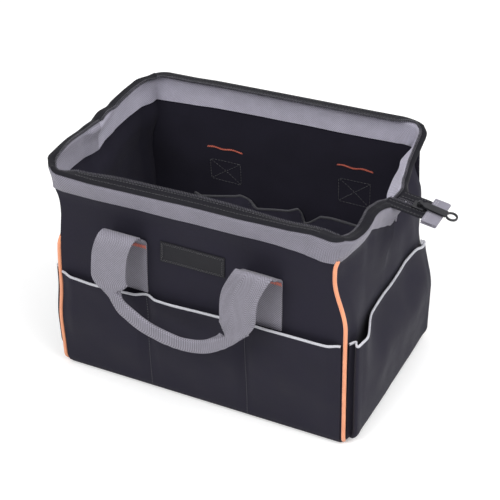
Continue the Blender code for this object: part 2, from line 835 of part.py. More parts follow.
def handle(name, end):
    """Webbing loop from crest to crest, folded narrow and thick along the grip."""
    crest = HALF_D + CREST_Y
    line = []
    for along, out, drop, width, thick in catmull(HANDLE_SHAPE, 2):
        line.append((along * STRAP_X, crest + out * HANDLE_OUT, CREST_Z - drop * HANDLE_DROP,
                     lerp(GRIP_W, WEBBING_W, width), lerp(WEBBING_T, GRIP_T, thick)))
    spots = [Vector((x, end * y, z)) for x, y, z, _, _ in line]
    last = len(line) - 1
    wide = Vector((1, 0, 0))
    loops = []
    for i, (_, _, _, width, thick) in enumerate(line):
        along = (spots[min(i + 1, last)] - spots[max(i - 1, 0)]).normalized()
        wide = (wide - along * wide.dot(along)).normalized()
        normal = along.cross(wide)
        thin = HINGE_THIN if i in (0, last) else 1.0
        loops.append(strap_loop(spots[i], wide, normal, width, thick * thin))
    tips = []
    for i, step in ((0, -1), (last, 1)):
        other = spots[1] if i == 0 else spots[last - 1]
        away = (spots[i] - other).normalized()
        frame = loops[i]
        centre = sum((Vector(p) for p in frame), Vector()) / len(frame)
        tip = []
        for p in frame:
            offset = Vector(p) - centre
            across = offset - Vector((1, 0, 0)) * offset.x
            tip.append(centre + Vector((offset.x, 0, 0)) + across * HINGE_THIN + away * HINGE_TIP)
        tips.append(tip)
    loops = [tips[0]] + loops + [tips[1]]
    return finish(name, loft(loops), WEBBING, roughness=0.9, origin=(0, end * crest, CREST_Z))


def strap_loop(spot, wide, normal, width, thick):
    edge = min(thick / 2, GRIP_EDGE)
    a = width / 2
    b = thick / 2
    outline = (
        (-a, -b + edge * 0.7), (-a + edge, -b), (a - edge, -b), (a, -b + edge * 0.7),
        (a, b - edge * 0.7), (a - edge, b), (-a + edge, b), (-a, b - edge * 0.7),
    )
    return [spot + wide * u + normal * v for u, v in outline]


def name_patch():
    front = HALF_D + FIT
    low = (PATCH_X - PATCH_W / 2, -front - 0.0012, PATCH_Z - PATCH_H / 2)
    high = (PATCH_X + PATCH_W / 2, -front, PATCH_Z + PATCH_H / 2)
    return finish("name_patch", box(low, high), BLACK, roughness=0.5)


# Zipper tail, slider and pull: s runs along the tail, h is square to it

TAIL_X = FRONT_LEG_X + TAIL_START
TAIL_Z = PIVOT_Z + TAIL_LIFT


def tail_frame():
    return Matrix.Translation((TAIL_X, 0, TAIL_Z)) @ Matrix.Rotation(TAIL_DROOP, 4, "Y")


def tail_point(s, h):
    return tail_frame() @ Vector((s, 0, h))


def on_tail(bm):
    bm.transform(tail_frame())
    return bm


def zipper_tail():
    """Both tape halves with their coils, joined by a turn at the tail's end."""
    wide = TAIL_HALF_W
    profile = (
        (SLIT_HALF, -CHAIN_T * 0.3),
        (SLIT_HALF + 0.0006, -CHAIN_T / 2),
        (SLIT_HALF + CHAIN_W - 0.0006, -CHAIN_T / 2),
        (SLIT_HALF + CHAIN_W, -TAPE_T / 2),
        (wide, -TAPE_T / 2),
        (wide, TAPE_T / 2),
        (SLIT_HALF + CHAIN_W, TAPE_T / 2),
        (SLIT_HALF + CHAIN_W - 0.0006, CHAIN_T / 2),
        (SLIT_HALF + 0.0006, CHAIN_T / 2),
        (SLIT_HALF, CHAIN_T * 0.3),
    )
    loops = [[(0, n, v) for n, v in profile]]
    turns = 14
    for k in range(turns + 1):
        angle = math.radians(90 - 180 * k / turns)
        c = math.cos(angle)
        s = math.sin(angle)
        loops.append([(TAIL_STRAIGHT + n * c, n * s, v) for n, v in profile])
    loops.append([(0, -n, v) for n, v in profile])
    return finish("zipper_tail_tape", on_tail(loft(loops)), BLACK, roughness=0.75)


def tail_end_tab():
    """Piece of webbing folded over the tail's end."""
    start = TAIL_STRAIGHT + SLIT_HALF + CHAIN_W + FIT
    stop = start + END_TAB_L
    gap = TAPE_T / 2 + FIT
    out = gap + 0.0013
    turn = TAIL_STRAIGHT + TAIL_HALF_W + FIT
    outline = (
        (start, gap), (turn, gap), (turn + 0.0003, 0.0), (turn, -gap), (start, -gap),
        (start, -out), (stop - 0.0008, -out), (stop, -0.0006), (stop, 0.0006),
        (stop - 0.0008, out), (start, out),
    )
    loops = []
    for y in (-WEBBING_W / 2, WEBBING_W / 2):
        loops.append([(s, y, h) for s, h in outline])
    return finish("tail_end_tab", on_tail(loft(loops)), WEBBING, roughness=0.9)


def slider():
    """Zipper slider: two channelled plates on a post, with ears and a pin for the pull."""
    half = SLIDER_L / 2
    chain = SLIT_HALF + CHAIN_W
    inner = CHAIN_T / 2 + 0.0003
    outer = inner + 0.0011
    lip = TAPE_T / 2 + 0.0003
    side_in = chain + 0.0004
    side_out = side_in + 0.0010
    plates = []
    for sign in (-1, 1):
        outline = (
            (-side_out, sign * lip), (-side_out, sign * (outer - 0.0004)),
            (-side_out + 0.0005, sign * outer), (side_out - 0.0005, sign * outer),
            (side_out, sign * (outer - 0.0004)), (side_out, sign * lip),
            (side_in, sign * lip), (side_in, sign * inner),
            (-side_in, sign * inner), (-side_in, sign * lip),
        )
        loops = []
        for s in (-half, half):
            loops.append([(SLIDER_S + s, y, h) for y, h in outline])
        plates.append(loft(loops))
    post_low = (SLIDER_S - half + 0.0010, -0.0013, -inner - 0.0004)
    post_high = (SLIDER_S - half + 0.0042, 0.0013, inner + 0.0004)
    parts = [plates[1], box(post_low, post_high)]
    for sign in (-1, 1):
        sides = sorted((sign * 0.0024, sign * 0.0035))
        low = (SLIDER_S - 0.0014, sides[0], outer - 0.0003)
        high = (SLIDER_S + 0.0014, sides[1], PIN_H + 0.0012)
        parts.append(box(low, high))
    pin_start = (SLIDER_S, -0.0030, PIN_H)
    pin_stop = (SLIDER_S, 0.0030, PIN_H)
    parts.append(cylinder(pin_start, pin_stop, PIN_R, 12))
    bm = on_tail(combine(plates[0], parts, "UNION"))
    return finish("zipper_slider", bm, (0.06, 0.06, 0.065), 1.0, 0.35, tail_point(SLIDER_S, 0))


def pull():
    """Pull tab with an eye round the slider's pin and a ring at its end."""
    eye_r = 0.0021
    half = 0.0020
    bar_start = SLIDER_S + 0.0010
    bar_stop = SLIDER_S + PULL_L
    ring_s = SLIDER_S + PULL_L + RING_R - 0.0008
    eye = cylinder((SLIDER_S, -half, PIN_H), (SLIDER_S, half, PIN_H), eye_r, 16)
    neck = box((bar_start, -half, PIN_H - PULL_T / 2), (bar_start + 0.005, half, PIN_H + PULL_T / 2))
    outline = (
        (bar_start + 0.0030, -0.0024), (bar_start + 0.0055, -PULL_W / 2),
        (bar_stop, -PULL_W / 2), (bar_stop, PULL_W / 2),
        (bar_start + 0.0055, PULL_W / 2), (bar_start + 0.0030, 0.0024),
    )
    bar = plate(outline, PIN_H - PULL_T / 2 - 0.0001, PIN_H + PULL_T / 2 + 0.0001)
    ring = cylinder((ring_s, 0, PIN_H - PULL_T / 2), (ring_s, 0, PIN_H + PULL_T / 2), RING_R, 28)
    body = combine(eye, [neck, bar, ring], "UNION")
    pin_hole = cylinder((SLIDER_S, -0.004, PIN_H), (SLIDER_S, 0.004, PIN_H), PIN_R + FIT, 16)
    ring_hole = cylinder((ring_s, 0, PIN_H - 0.004), (ring_s, 0, PIN_H + 0.004), RING_HOLE_R, 28)
    bm = combine(body, [pin_hole, ring_hole], "DIFFERENCE")
    pin = Vector((SLIDER_S, 0, PIN_H))
    rest = Matrix.Translation(pin) @ Matrix.Rotation(PULL_REST, 4, "Y") @ Matrix.Translation(-pin)
    bm.transform(rest)
    bm = on_tail(bm)
    return finish("zipper_pull", bm, (0.02, 0.02, 0.022), 0.2, 0.4, tail_point(SLIDER_S, PIN_H))


def build():
    clear_scene()
    base_panel()
    base_board()
    ends = (("front", -1), ("rear", 1))
    sides = (("left", -1), ("right", 1))
    for end_name, end in ends:
        fold = (0, end * BAR_Y, FOLD_Z)
        lower_panel(f"lower_{end_name}_panel", end)
        upper_panel(f"upper_{end_name}_panel", end)
        long_casing(f"{end_name}_casing", end)
        long_tape(f"{end_name}_zipper_tape", end)
        flat_pocket(f"{end_name}_pocket", f"{end_name}_pocket_binding", end, end * HALF_D, end,
                    POCKET_TOP, FLAT_POCKET_HALF, STITCH_LINES, FLAT_POCKET_DEPTH, CLOTH)
        shift = 1 if end < 0 else -1
        frame_tube(f"{end_name}_frame_tube", leg_line(end), end, shift * (TUBE_R - LUG_HALF_T))
        for side_name, side in sides:
            corner = f"{end_name}_{side_name}"
            piping(f"lower_piping_{corner}", side, end, LOWER_Z, PIPING_FOLD_Z - FOLD_GAP)
            piping(f"upper_piping_{corner}", side, end, PIPING_FOLD_Z + FOLD_GAP, NOTCH_Z, fold)
            leg_casing(f"leg_casing_{corner}", side, end)
            leg_tape(f"leg_tape_{corner}", side, end)
            handle_anchor(f"{end_name}_strap_{side_name}", side, end)
            if end < 0:
                face = FRONT_LEG_X - TUBE_R + 2 * LUG_HALF_T
                rivet(f"rivet_head_{side_name}", side, face, 1)
            else:
                face = REAR_LEG_X + TUBE_R - 2 * LUG_HALF_T
                rivet(f"rivet_tail_{side_name}", side, face, -1)
        handle(f"{end_name}_handle", end)
    for side_name, side in sides:
        lower_end_panel(f"lower_{side_name}_end_panel", side)
        end_gusset(f"{side_name}_end_gusset", side)
        end_pocket(f"{side_name}_end_pocket", f"{side_name}_end_pocket_binding", side)
    flat_pocket("inner_rear_pocket", "inner_rear_pocket_binding", 1, HALF_D - FABRIC, -1,
                INNER_TOP, INNER_HALF, INNER_LINES, INNER_DEPTH, LINING)
    name_patch()
    zipper_tail()
    tail_end_tab()
    slider()
    pull()


build()
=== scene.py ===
"""Wide mouth tool bag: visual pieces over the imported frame."""
import bisect
import math

import bpy
import numpy as np
from mathutils import Matrix, Vector, noise


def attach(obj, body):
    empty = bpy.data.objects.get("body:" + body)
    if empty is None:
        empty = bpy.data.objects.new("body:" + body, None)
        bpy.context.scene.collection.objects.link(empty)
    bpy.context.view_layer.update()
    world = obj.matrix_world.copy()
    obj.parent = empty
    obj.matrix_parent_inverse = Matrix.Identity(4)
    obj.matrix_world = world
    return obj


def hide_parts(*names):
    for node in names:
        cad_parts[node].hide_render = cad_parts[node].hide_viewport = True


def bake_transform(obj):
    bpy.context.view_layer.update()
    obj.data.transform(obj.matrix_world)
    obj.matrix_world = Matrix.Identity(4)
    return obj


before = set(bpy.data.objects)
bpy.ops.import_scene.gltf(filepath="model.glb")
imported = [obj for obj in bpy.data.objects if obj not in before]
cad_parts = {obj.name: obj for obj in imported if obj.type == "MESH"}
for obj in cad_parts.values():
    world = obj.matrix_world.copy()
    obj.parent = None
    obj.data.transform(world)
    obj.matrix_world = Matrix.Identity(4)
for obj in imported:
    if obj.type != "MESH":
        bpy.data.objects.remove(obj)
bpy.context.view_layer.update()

# Sides of the bag: end is -1 at the front and 1 at the rear, side is -1 at the left and 1 at the right
FACE = {-1: "front", 1: "rear"}
HAND = {-1: "left", 1: "right"}

# Sizes shared with the CAD model, in metres
HALF_L = 0.1625
HALF_D = 0.1025
BAR_Y = 0.1015
RIM_Z = 0.258
FOLD_Z = 0.1145
PIVOT_DROP = 0.02
PIVOT_Z = RIM_Z - PIVOT_DROP
FRONT_LEG_X = 0.1596
REAR_LEG_X = 0.1542
MIDDLE_X = (FRONT_LEG_X + REAR_LEG_X) / 2
CORNER = 0.026
TUBE_R = 0.0025
LUG_LENGTH = 0.016
LUG_PAST = 0.0045
LUG_HALF_T = 0.0012
LUG_HALF_H = 0.0034
SOLID_BOW = 0.0065
CASING_T = 0.0012
CASING_DROP = 0.03
ROLL_IN = 0.0028
FIT = 0.0003
PIVOT_HALF_W = 0.0053
PIVOT_HALF_H = 0.006
NOTCH_Z = 0.2263
POCKET_TOP = 0.128
POCKET_BOTTOM = 0.004
STITCH_LINES = (-0.0565, 0.0545)
FLAT_HALF = 0.1585
INNER_HALF = 0.108
INNER_LINES = (-0.04, 0.023)
END_HALF = 0.0977
STRAP_X = 0.075
CREST_Y = HALF_D + 0.0175
CREST_Z = 0.207
CREST_STEP = 0.0035
HANDLE_OUT = 0.0176
WEB_WIDTH = 0.04

# Sizes of the soft pieces
PANEL_T = 0.002
POCKET_T = 0.0012
RIGHT_RISE = 0.0065
INNER_FACE_Y = HALF_D - PANEL_T
HEM_LEVELS = [0.003, 0.0045, 0.0065, 0.009, 0.012]
HEM_TOP = 0.0155
SEWN_TOP = 0.188
PIPING_X = 0.1622
PIPING_R = 0.0021
EDGE_DROP = 0.0285
TAPE_T = 0.0008
BAR_REACH = 0.0102


# Materials

class Nodes:
    """Short names for the work on a node tree."""

    def __init__(self, tree):
        self.tree = tree

    def set(self, socket, value):
        """A socket takes another node's output or a plain value."""
        if isinstance(value, bpy.types.NodeSocket):
            self.tree.links.new(value, socket)
        else:
            socket.default_value = value

    def add(self, kind, **inputs):
        node = self.tree.nodes.new(f"ShaderNode{kind}")
        for name, value in inputs.items():
            self.set(node.inputs[name.replace("_", " ")], value)
        return node

    def math(self, operation, *values, clamp=False):
        node = self.add("Math")
        node.operation = operation
        node.use_clamp = clamp
        for socket, value in zip(node.inputs, values):
            self.set(socket, value)
        return node.outputs[0]


class Surface(Nodes):
    """A node material and the patterns that it is made of."""

    def __init__(self, name, color, roughness=0.8, metallic=0.0, **sockets):
        self.data = bpy.data.materials.new(name)
        self.data.use_nodes = True
        super().__init__(self.data.node_tree)
        self.shader = self.tree.nodes["Principled BSDF"]
        self.finish(Base_Color=(*color, 1), Roughness=roughness, Metallic=metallic, **sockets)

    def finish(self, **sockets):
        for name, value in sockets.items():
            self.set(self.shader.inputs[name.replace("_", " ")], value)

    def uv(self):
        """The cloth's own coordinates in metres: whole, along and across."""
        whole = self.add("TexCoord").outputs["UV"]
        parts = self.add("SeparateXYZ", Vector=whole)
        return whole, parts.outputs[0], parts.outputs[1]

    def wave(self, coord, pitch):
        return self.math("SINE", self.math("MULTIPLY", coord, 2 * math.pi / pitch))

    def half(self, value):
        """A value between -1 and 1, brought between 0 and 1."""
        return self.math("MULTIPLY_ADD", value, 0.5, 0.5)

    def mix(self, *pairs):
        """Sum of values, each with its share."""
        total = 0.0
        for value, share in pairs:
            total = self.math("MULTIPLY_ADD", value, share, total)
        return total

    def noise(self, vector, scale, detail=2.0, roughness=0.5):
        node = self.add("TexNoise", Vector=vector, Scale=scale, Detail=detail, Roughness=roughness)
        return node.outputs["Fac"]

    def tint(self, value, low, dark, high, light):
        """Base colour: dark up to the low value, light from the high one."""
        node = self.add("ValToRGB", Fac=value)
        for k, (spot, color) in enumerate(((low, dark), (high, light))):
            node.color_ramp.elements[k].position = spot
            node.color_ramp.elements[k].color = (*color, 1)
        self.finish(Base_Color=node.outputs[0])

    def rough(self, value, low, high):
        """Roughness from a noise value, which lies mostly between 0.3 and 0.7."""
        node = self.add("MapRange", Value=value, From_Min=0.3, From_Max=0.7, To_Min=low, To_Max=high)
        self.finish(Roughness=node.outputs[0])

    def bump(self, height, strength, distance):
        node = self.add("Bump", Height=height, Strength=strength, Distance=distance)
        self.finish(Normal=node.outputs[0])


def cloth_material(name, dark, light, pitch=0.0011, sheen=0.04, rough=(0.72, 0.9), strength=0.35):
    """Plain-woven coated cloth: thread weave, soft mottling and rubbed patches."""
    mat = Surface(name, light, 0.8, Sheen_Weight=sheen, Sheen_Roughness=0.45, Specular_IOR_Level=0.14)
    uv, u, v = mat.uv()
    weave = mat.half(mat.math("MULTIPLY", mat.wave(u, pitch), mat.wave(v, pitch)))
    mottle = mat.noise(uv, 28.0, 3.0, 0.6)
    slub = mat.noise(uv, 420.0, 1.0)
    mat.tint(mat.mix((weave, 0.22), (mottle, 0.62), (slub, 0.16)), 0.22, dark, 0.78, light)
    mat.rough(mottle, *rough)
    mat.bump(mat.mix((weave, 1.0), (slub, 0.4)), strength, 0.00022)
    return mat.data


def webbing_material(name, dark, light, rib=0.0019, column=0.0014):
    """Ribbed webbing: rows across the band, each column half a row out of step."""
    mat = Surface(name, light, 0.75, Sheen_Weight=0.15, Sheen_Roughness=0.4, Specular_IOR_Level=0.4)
    uv, u, v = mat.uv()
    side = mat.wave(v, column * 2)
    step = mat.math("MULTIPLY", mat.math("SIGN", side), math.pi / 2)
    rows = mat.half(mat.math("SINE", mat.math("MULTIPLY_ADD", u, 2 * math.pi / rib, step)))
    cell = mat.math("MULTIPLY", rows, mat.math("POWER", mat.math("ABSOLUTE", side), 0.35))
    patch = mat.noise(uv, 60.0, 3.0, 0.6)
    fuzz = mat.noise(uv, 900.0, 1.0)
    mat.tint(mat.mix((patch, 0.3), (cell, 0.62), (fuzz, 0.16)), 0.15, dark, 0.72, light)
    mat.rough(patch, 0.66, 0.86)
    mat.bump(mat.mix((cell, 1.0), (fuzz, 0.3)), 0.55, 0.0005)
    return mat.data


def tape_material(name, dark, light):
    """Zipper tape: a fine herringbone that runs along the tape."""
    mat = Surface(name, light, 0.75, Sheen_Weight=0.02, Specular_IOR_Level=0.12)
    uv, u, v = mat.uv()
    fold = mat.math("PINGPONG", v, 0.0022)
    rows = mat.half(mat.wave(mat.math("ADD", u, fold), 0.0012))
    patch = mat.noise(uv, 45.0)
    mat.tint(mat.mix((patch, 0.5), (rows, 0.5)), 0.2, dark, 0.85, light)
    mat.rough(patch, 0.55, 0.75)
    mat.bump(rows, 0.4, 0.0002)
    return mat.data


def piping_material(name, dark, light):
    """Twill-covered cord."""
    mat = Surface(name, light, 0.55, Sheen_Weight=0.2, Specular_IOR_Level=0.4)
    uv, u, v = mat.uv()
    twill = mat.half(mat.wave(mat.math("ADD", u, v), 0.0013))
    patch = mat.noise(uv, 70.0)
    mat.tint(mat.mix((patch, 0.65), (twill, 0.35)), 0.15, dark, 0.75, light)
    mat.rough(patch, 0.5, 0.68)
    mat.bump(twill, 0.45, 0.0003)
    return mat.data


def thread_material(name, dark, light):
    mat = Surface(name, light, 0.5, Sheen_Weight=0.3, Specular_IOR_Level=0.5)
    patch = mat.noise(mat.add("TexCoord").outputs["Object"], 900.0)
    mat.tint(patch, 0.3, dark, 0.7, light)
    mat.bump(patch, 0.3, 0.0002)
    return mat.data


def hard_material(name, dark, light, metallic, rough):
    """Metal or plastic with uneven gloss."""
    mat = Surface(name, light, rough, metallic)
    place = mat.add("TexCoord").outputs["Object"]
    fine = mat.noise(place, 1600.0)
    mat.tint(mat.noise(place, 160.0, 3.0, 0.6), 0.3, dark, 0.7, light)
    mat.rough(fine, rough * 0.8, rough * 1.25)
    mat.bump(fine, 0.12, 0.0001)
    return mat.data


CLOTH = cloth_material("bag_cloth", (0.0112, 0.0102, 0.0172), (0.0188, 0.0171, 0.0288))
# Lining fabric made lighter than the cloth: painted light that stands in for light falling inside the bag
PAINTED_LIGHT_LINING = cloth_material("bag_lining_painted_light", (0.03, 0.0282, 0.0425), (0.052, 0.0488, 0.074), 0.0013)
LABEL = cloth_material("label_cloth", (0.0078, 0.0077, 0.01), (0.0155, 0.015, 0.019),
                       0.0007, 0.05, (0.38, 0.5), 0.25)
WEBBING = webbing_material("grey_webbing", (0.094, 0.09, 0.112), (0.275, 0.262, 0.316))
# Painted light: a lighter copy of the webbing for the front leg casings' inward-facing sides, as if more
# light fell on them
LEG_PAINTED_LIGHT_WEB = webbing_material("front_leg_painted_light_webbing", (0.16, 0.154, 0.193), (0.44, 0.421, 0.503))
# Painted light: a lighter copy of the webbing for the rear band and rear leg casings, standing in for light
# on their front-facing sides
REAR_PAINTED_LIGHT_WEB = webbing_material("rear_painted_light_webbing", (0.265, 0.255, 0.32), (0.665, 0.64, 0.76))
HANDLE_WEB = webbing_material("handle_webbing", (0.086, 0.082, 0.1), (0.285, 0.272, 0.322),
                              0.0021, 0.0013)
BINDING = webbing_material("pocket_binding", (0.36, 0.36, 0.4), (0.66, 0.66, 0.71), 0.0012, 0.0009)
DARK_BINDING = webbing_material("inner_binding", (0.03, 0.03, 0.036), (0.075, 0.074, 0.086),
                                0.0012, 0.0009)
TAPE = tape_material("zipper_tape", (0.003, 0.0029, 0.0045), (0.0095, 0.009, 0.0135))
PIPING = piping_material("orange_piping", (0.66, 0.225, 0.11), (0.92, 0.39, 0.21))
BLACK_THREAD = thread_material("black_thread", (0.012, 0.012, 0.015), (0.035, 0.034, 0.042))
GREY_THREAD = thread_material("grey_thread", (0.26, 0.26, 0.29), (0.46, 0.45, 0.5))
RED_THREAD = thread_material("tack_thread", (0.42, 0.06, 0.035), (0.8, 0.19, 0.11))
COIL = hard_material("zipper_coil", (0.024, 0.023, 0.03), (0.07, 0.067, 0.084), 0.0, 0.4)
STEEL = hard_material("frame_steel", (0.36, 0.36, 0.37), (0.52, 0.52, 0.53), 1.0, 0.3)
BLACK_METAL = hard_material("black_metal", (0.006, 0.006, 0.008), (0.017, 0.017, 0.021), 0.35, 0.38)


# Small helpers

def smooth(t):
    t = min(max(t, 0.0), 1.0)
    return t * t * (3 - 2 * t)


def ease(value, start, length):
    """0 up to start, 1 past start + length, and smooth between them."""
    return smooth((value - start) / length)


def lerp(a, b, t):
    return a + (b - a) * t


def spread(a, b, count):
    return [lerp(a, b, k / (count - 1)) for k in range(count)]


def table(rows, x):
    """Value at x of a line through (place, value) rows."""
    if x <= rows[0][0]:
        return rows[0][1]
    for (a, va), (b, vb) in zip(rows, rows[1:]):
        if x <= b:
            return lerp(va, vb, (x - a) / (b - a))
    return rows[-1][1]


def ripple(a, b, seed):
    """Soft cloth unevenness of about one unit."""
    big = noise.noise(Vector((a * 17, b * 14, seed)))
    small = noise.noise(Vector((a * 46, b * 38, seed + 7)))
    return 1.5 * big + 0.45 * small


# The bag's sag: tables of (place along the side, shift) in millimetres

def mm(*rows):
    return [tuple(v / 1000 for v in row) for row in rows]


FRONT_HANG = mm((-163, 9.6), (-107, 8.9), (-60, 7.1), (0, 5.1), (50, 4.9), (103, 2.5), (124, 0.4),
                (163, -1.2))
REAR_LEAN = mm((-155, -5.9), (-127, -5), (-100, -4), (-75, -2.2), (0, 1), (100, 5), (135, 6.6), (163, 7))
WAIST = {
    1: mm((-104, 13), (-80, 11), (-50, 6), (0, 2), (50, 1), (80, 2.5), (90, 2.5), (98, 5), (104, 8)),
    -1: mm((-104, 4.5), (-80, 6), (-50, 1), (0, -4), (50, -2), (80, 0), (104, 6)),
}
BOW = {
    1: mm((-104, 0), (-50, 3), (0, 1), (50, 0), (80, 3), (92, 6.5), (104, 6.6)),
    -1: mm((-104, 3), (-85, 9), (-50, 11), (35, 12), (60, 8), (85, 3), (104, 1)),
}
DROOP_FRONT = mm((-163, 1.5), (-150, 3.5), (-115, 4.8), (-45, 4.8), (10, 4.2), (70, 3.6), (125, 4.2),
                 (150, 7.4), (163, 8))
DROOP_RIGHT = mm((-103, 8), (-95, 8.4), (-80, 9), (-70, 9), (-60, 7.2), (-52, 3.5), (-45, 0), (-33, -2.5),
                 (-20, -1.5), (-8, 0))
SWEEP = mm((-40, 0), (-25, 3), (-12, 8.5), (0, 12), (12, 13), (30, 11.5), (55, 7), (80, 3), (100, 0))

# Roll of the rear right leg's band: (place in metres, angle)
TWIST = ((0, 0), (0.015, 0.38), (0.035, 0.56), (0.055, 0.52), (0.08, 0.4), (0.095, 0.15), (0.104, 0))
SWEEP_FROM_Y = -0.04
SWEEP_FROM_Z = 0.14
TWIST_HELD = 0.032
PIVOT_DIP = 0.0035

# Radius of the mouth's soft corners by (side, end)
RIM_RADIUS = {(1, -1): 0.018, (-1, -1): 0.011, (1, 1): 0.023, (-1, 1): 0.022}


def leg_z(y):
    return RIM_Z - PIVOT_DROP * (1 - abs(y) / BAR_Y)


def leg_line(end):
    return FRONT_LEG_X if end < 0 else REAR_LEG_X


def pivot_share(y):
    return 1 - ease(abs(y), 0.012, 0.018)


def pivot_size(y):
    """Half width and half height of the room inside a leg's casing."""
    share = pivot_share(y)
    return lerp(ROLL_IN, PIVOT_HALF_W, share), lerp(ROLL_IN, PIVOT_HALF_H, share)


def twist(px, py, pz):
    """Shift of a point of the right legs: swept to the tail, and rolled inward at the rear leg."""
    angle = table(TWIST, py)
    drop = leg_z(min(abs(py), BAR_Y)) - pz
    across = px - lerp(REAR_LEG_X, MIDDLE_X, pivot_share(max(py, 0.0)))
    held = min(drop, TWIST_HELD)
    shift_x = across * math.cos(angle) - held * math.sin(angle) - across
    shift_z = -across * math.sin(angle) - held * math.cos(angle) + held
    fade = 1 - ease(drop, TWIST_HELD, 0.055)
    gate = ease(px, 0.13, 0.015)
    dip = PIVOT_DIP * (1 - ease(abs(py), 0.004, 0.026))
    return (shift_x + table(SWEEP, py)) * fade * gate, (shift_z - dip) * fade * gate


def droop(px, py, pz):
    """How far the front of the mouth hangs below a straight rim."""
    bar = table(DROOP_FRONT, px) * ease(-py, 0.078, 0.02)
    at_right = ease(px, 0.135, 0.02)
    return lerp(bar, table(DROOP_RIGHT, py), at_right) * ease(pz, 0.15, 0.085)


def sag(p):
    """Where a point of the flat-sided box lies on the real, soft bag."""
    px, py, pz = p
    x, y, z = p
    right = px > 0
    sx = 1 if right else -1
    sy = 1 if py > 0 else -1
    ax = abs(px)
    ay = abs(py)

    # Rounded corners of the mouth
    radius = RIM_RADIUS[sx, sy]
    corner_x = leg_line(sy)
    at_rim = ease(pz, 0.226, 0.028)
    past_x = radius - (corner_x - ax)
    past_y = radius - (BAR_Y - ay)
    if at_rim > 0 and past_x > 0 and past_y > 0:
        k = lerp(1.0, max(past_x, past_y) / math.hypot(past_x, past_y), at_rim)
        x = sx * (corner_x - radius + past_x * k)
        y = sy * (BAR_Y - radius + past_y * k)

    # Ends drawn in above the pockets, and bowed out along the mouth
    low = lerp(0.15, 0.1, ease(py, 0.06, 0.03)) if right else 0.15
    waist = smooth((pz - low) / lerp(0.065, 0.04, (0.15 - low) / 0.05))
    under_band, fade = (0.032, 0.03) if right else (0.052, 0.045)
    waist *= 1 - smooth((pz - leg_z(min(ay, BAR_Y)) + under_band) / fade)
    x -= sx * ease(ax, 0.09, 0.07) * waist * table(WAIST[sx], py)
    at_back = ease(py, 0.06, 0.02) if right else 0.0
    bow = smooth((pz - lerp(0.17, 0.226, at_back)) / lerp(0.05, 0.026, at_back))
    x += sx * bow * ease(ax, 0.13, 0.02) * table(BOW[sx], py)
    if right and py > SWEEP_FROM_Y and pz > SWEEP_FROM_Z:
        across, up = twist(px, py, pz)
        x += across
        z += up

    # Long walls that hang in at the front and lean at the rear
    hang = table(FRONT_HANG, px) * ease(-py, 0.045, 0.055) * ease(pz, 0.215, 0.043)
    lean = table(REAR_LEAN, px) * ease(py, 0.03, 0.07) * ease(pz, 0.11, 0.07)
    y += lean - hang
    z += 0.66 * lean - 0.4 * hang
    if py < 0:
        z -= droop(px, py, pz)

    # Swell of the lower half
    rise = smooth(pz / 0.095) * (1 - ease(pz, 0.128, 0.088))
    at_end = ease(ax, 0.1, 0.058)
    at_wall = ease(ay, 0.055, 0.042)
    corner = ease(ay, 0.08, 0.015)
    if right:
        tight = 1 - 0.75 * ease(pz, 0.085, 0.04) * ease(py, 0.04, 0.04)
        x += at_end * lerp(0.004, 0.001, corner) * rise * tight
        drawn = ease(pz, 0.06, 0.07) * (1 - ease(pz, 0.15, 0.06))
        x -= 0.0055 * drawn * smooth((0.085 - ay) / 0.04) * at_end
    else:
        x += (0.0045 * corner * ease(pz, 0.055, 0.055) - 0.0012 * rise) * at_end
    y += sy * at_wall * 0.003 * rise

    # Uneven cloth, and edges rolled under at the base
    near_end = ease(ax, 0.13, 0.025)
    mild = 0.0011 * smooth(pz / 0.03) * (1 - ease(pz, 0.17, 0.06))
    y += at_wall * (1 - near_end) * mild * ripple(px, pz, 3.0 + sy)
    x += near_end * (1 - ease(ay, 0.075, 0.02)) * mild * ripple(py, pz, 9.0 + sx)
    under = max(0.0, 1 - pz / 0.012) ** 2
    x -= sx * (0.001 if right else 0.003) * under * ease(ax, 0.14, 0.02)
    y -= sy * 0.003 * under * ease(ay, 0.08, 0.02)
    return Vector((x, y, z))


def as_is(p):
    return Vector(p)


# Mesh helpers

def make(name, verts, faces, corner_uvs, mat, sharp=50.0, move=sag):
    mesh = bpy.data.meshes.new(name)
    mesh.from_pydata([tuple(move(v)) for v in verts], [], faces)
    layer = mesh.uv_layers.new(name="UVMap")
    layer.data.foreach_set("uv", [c for uvs in corner_uvs for uv in uvs for c in uv])
    mesh.validate()
    mesh.materials.append(mat)
    mesh.shade_smooth()
    mesh.set_sharp_from_angle(angle=math.radians(sharp))
    obj = bpy.data.objects.new(name, mesh)
    bpy.context.scene.collection.objects.link(obj)
    return obj


def run_lengths(points):
    out = [0.0]
    for a, b in zip(points, points[1:]):
        out.append(out[-1] + (Vector(b) - Vector(a)).length)
    return out


def place_on(stops, s):
    """The span that holds length s of a line with these run lengths, and the share of it passed."""
    k = min(bisect.bisect_right(stops, s), len(stops) - 1) - 1
    return k, (s - stops[k]) / max(stops[k + 1] - stops[k], 1e-9)


def turned_over(rows, turn):
    """The same grid with its other side facing out, where turn asks for it."""
    return [list(reversed(row)) for row in rows] if turn else rows


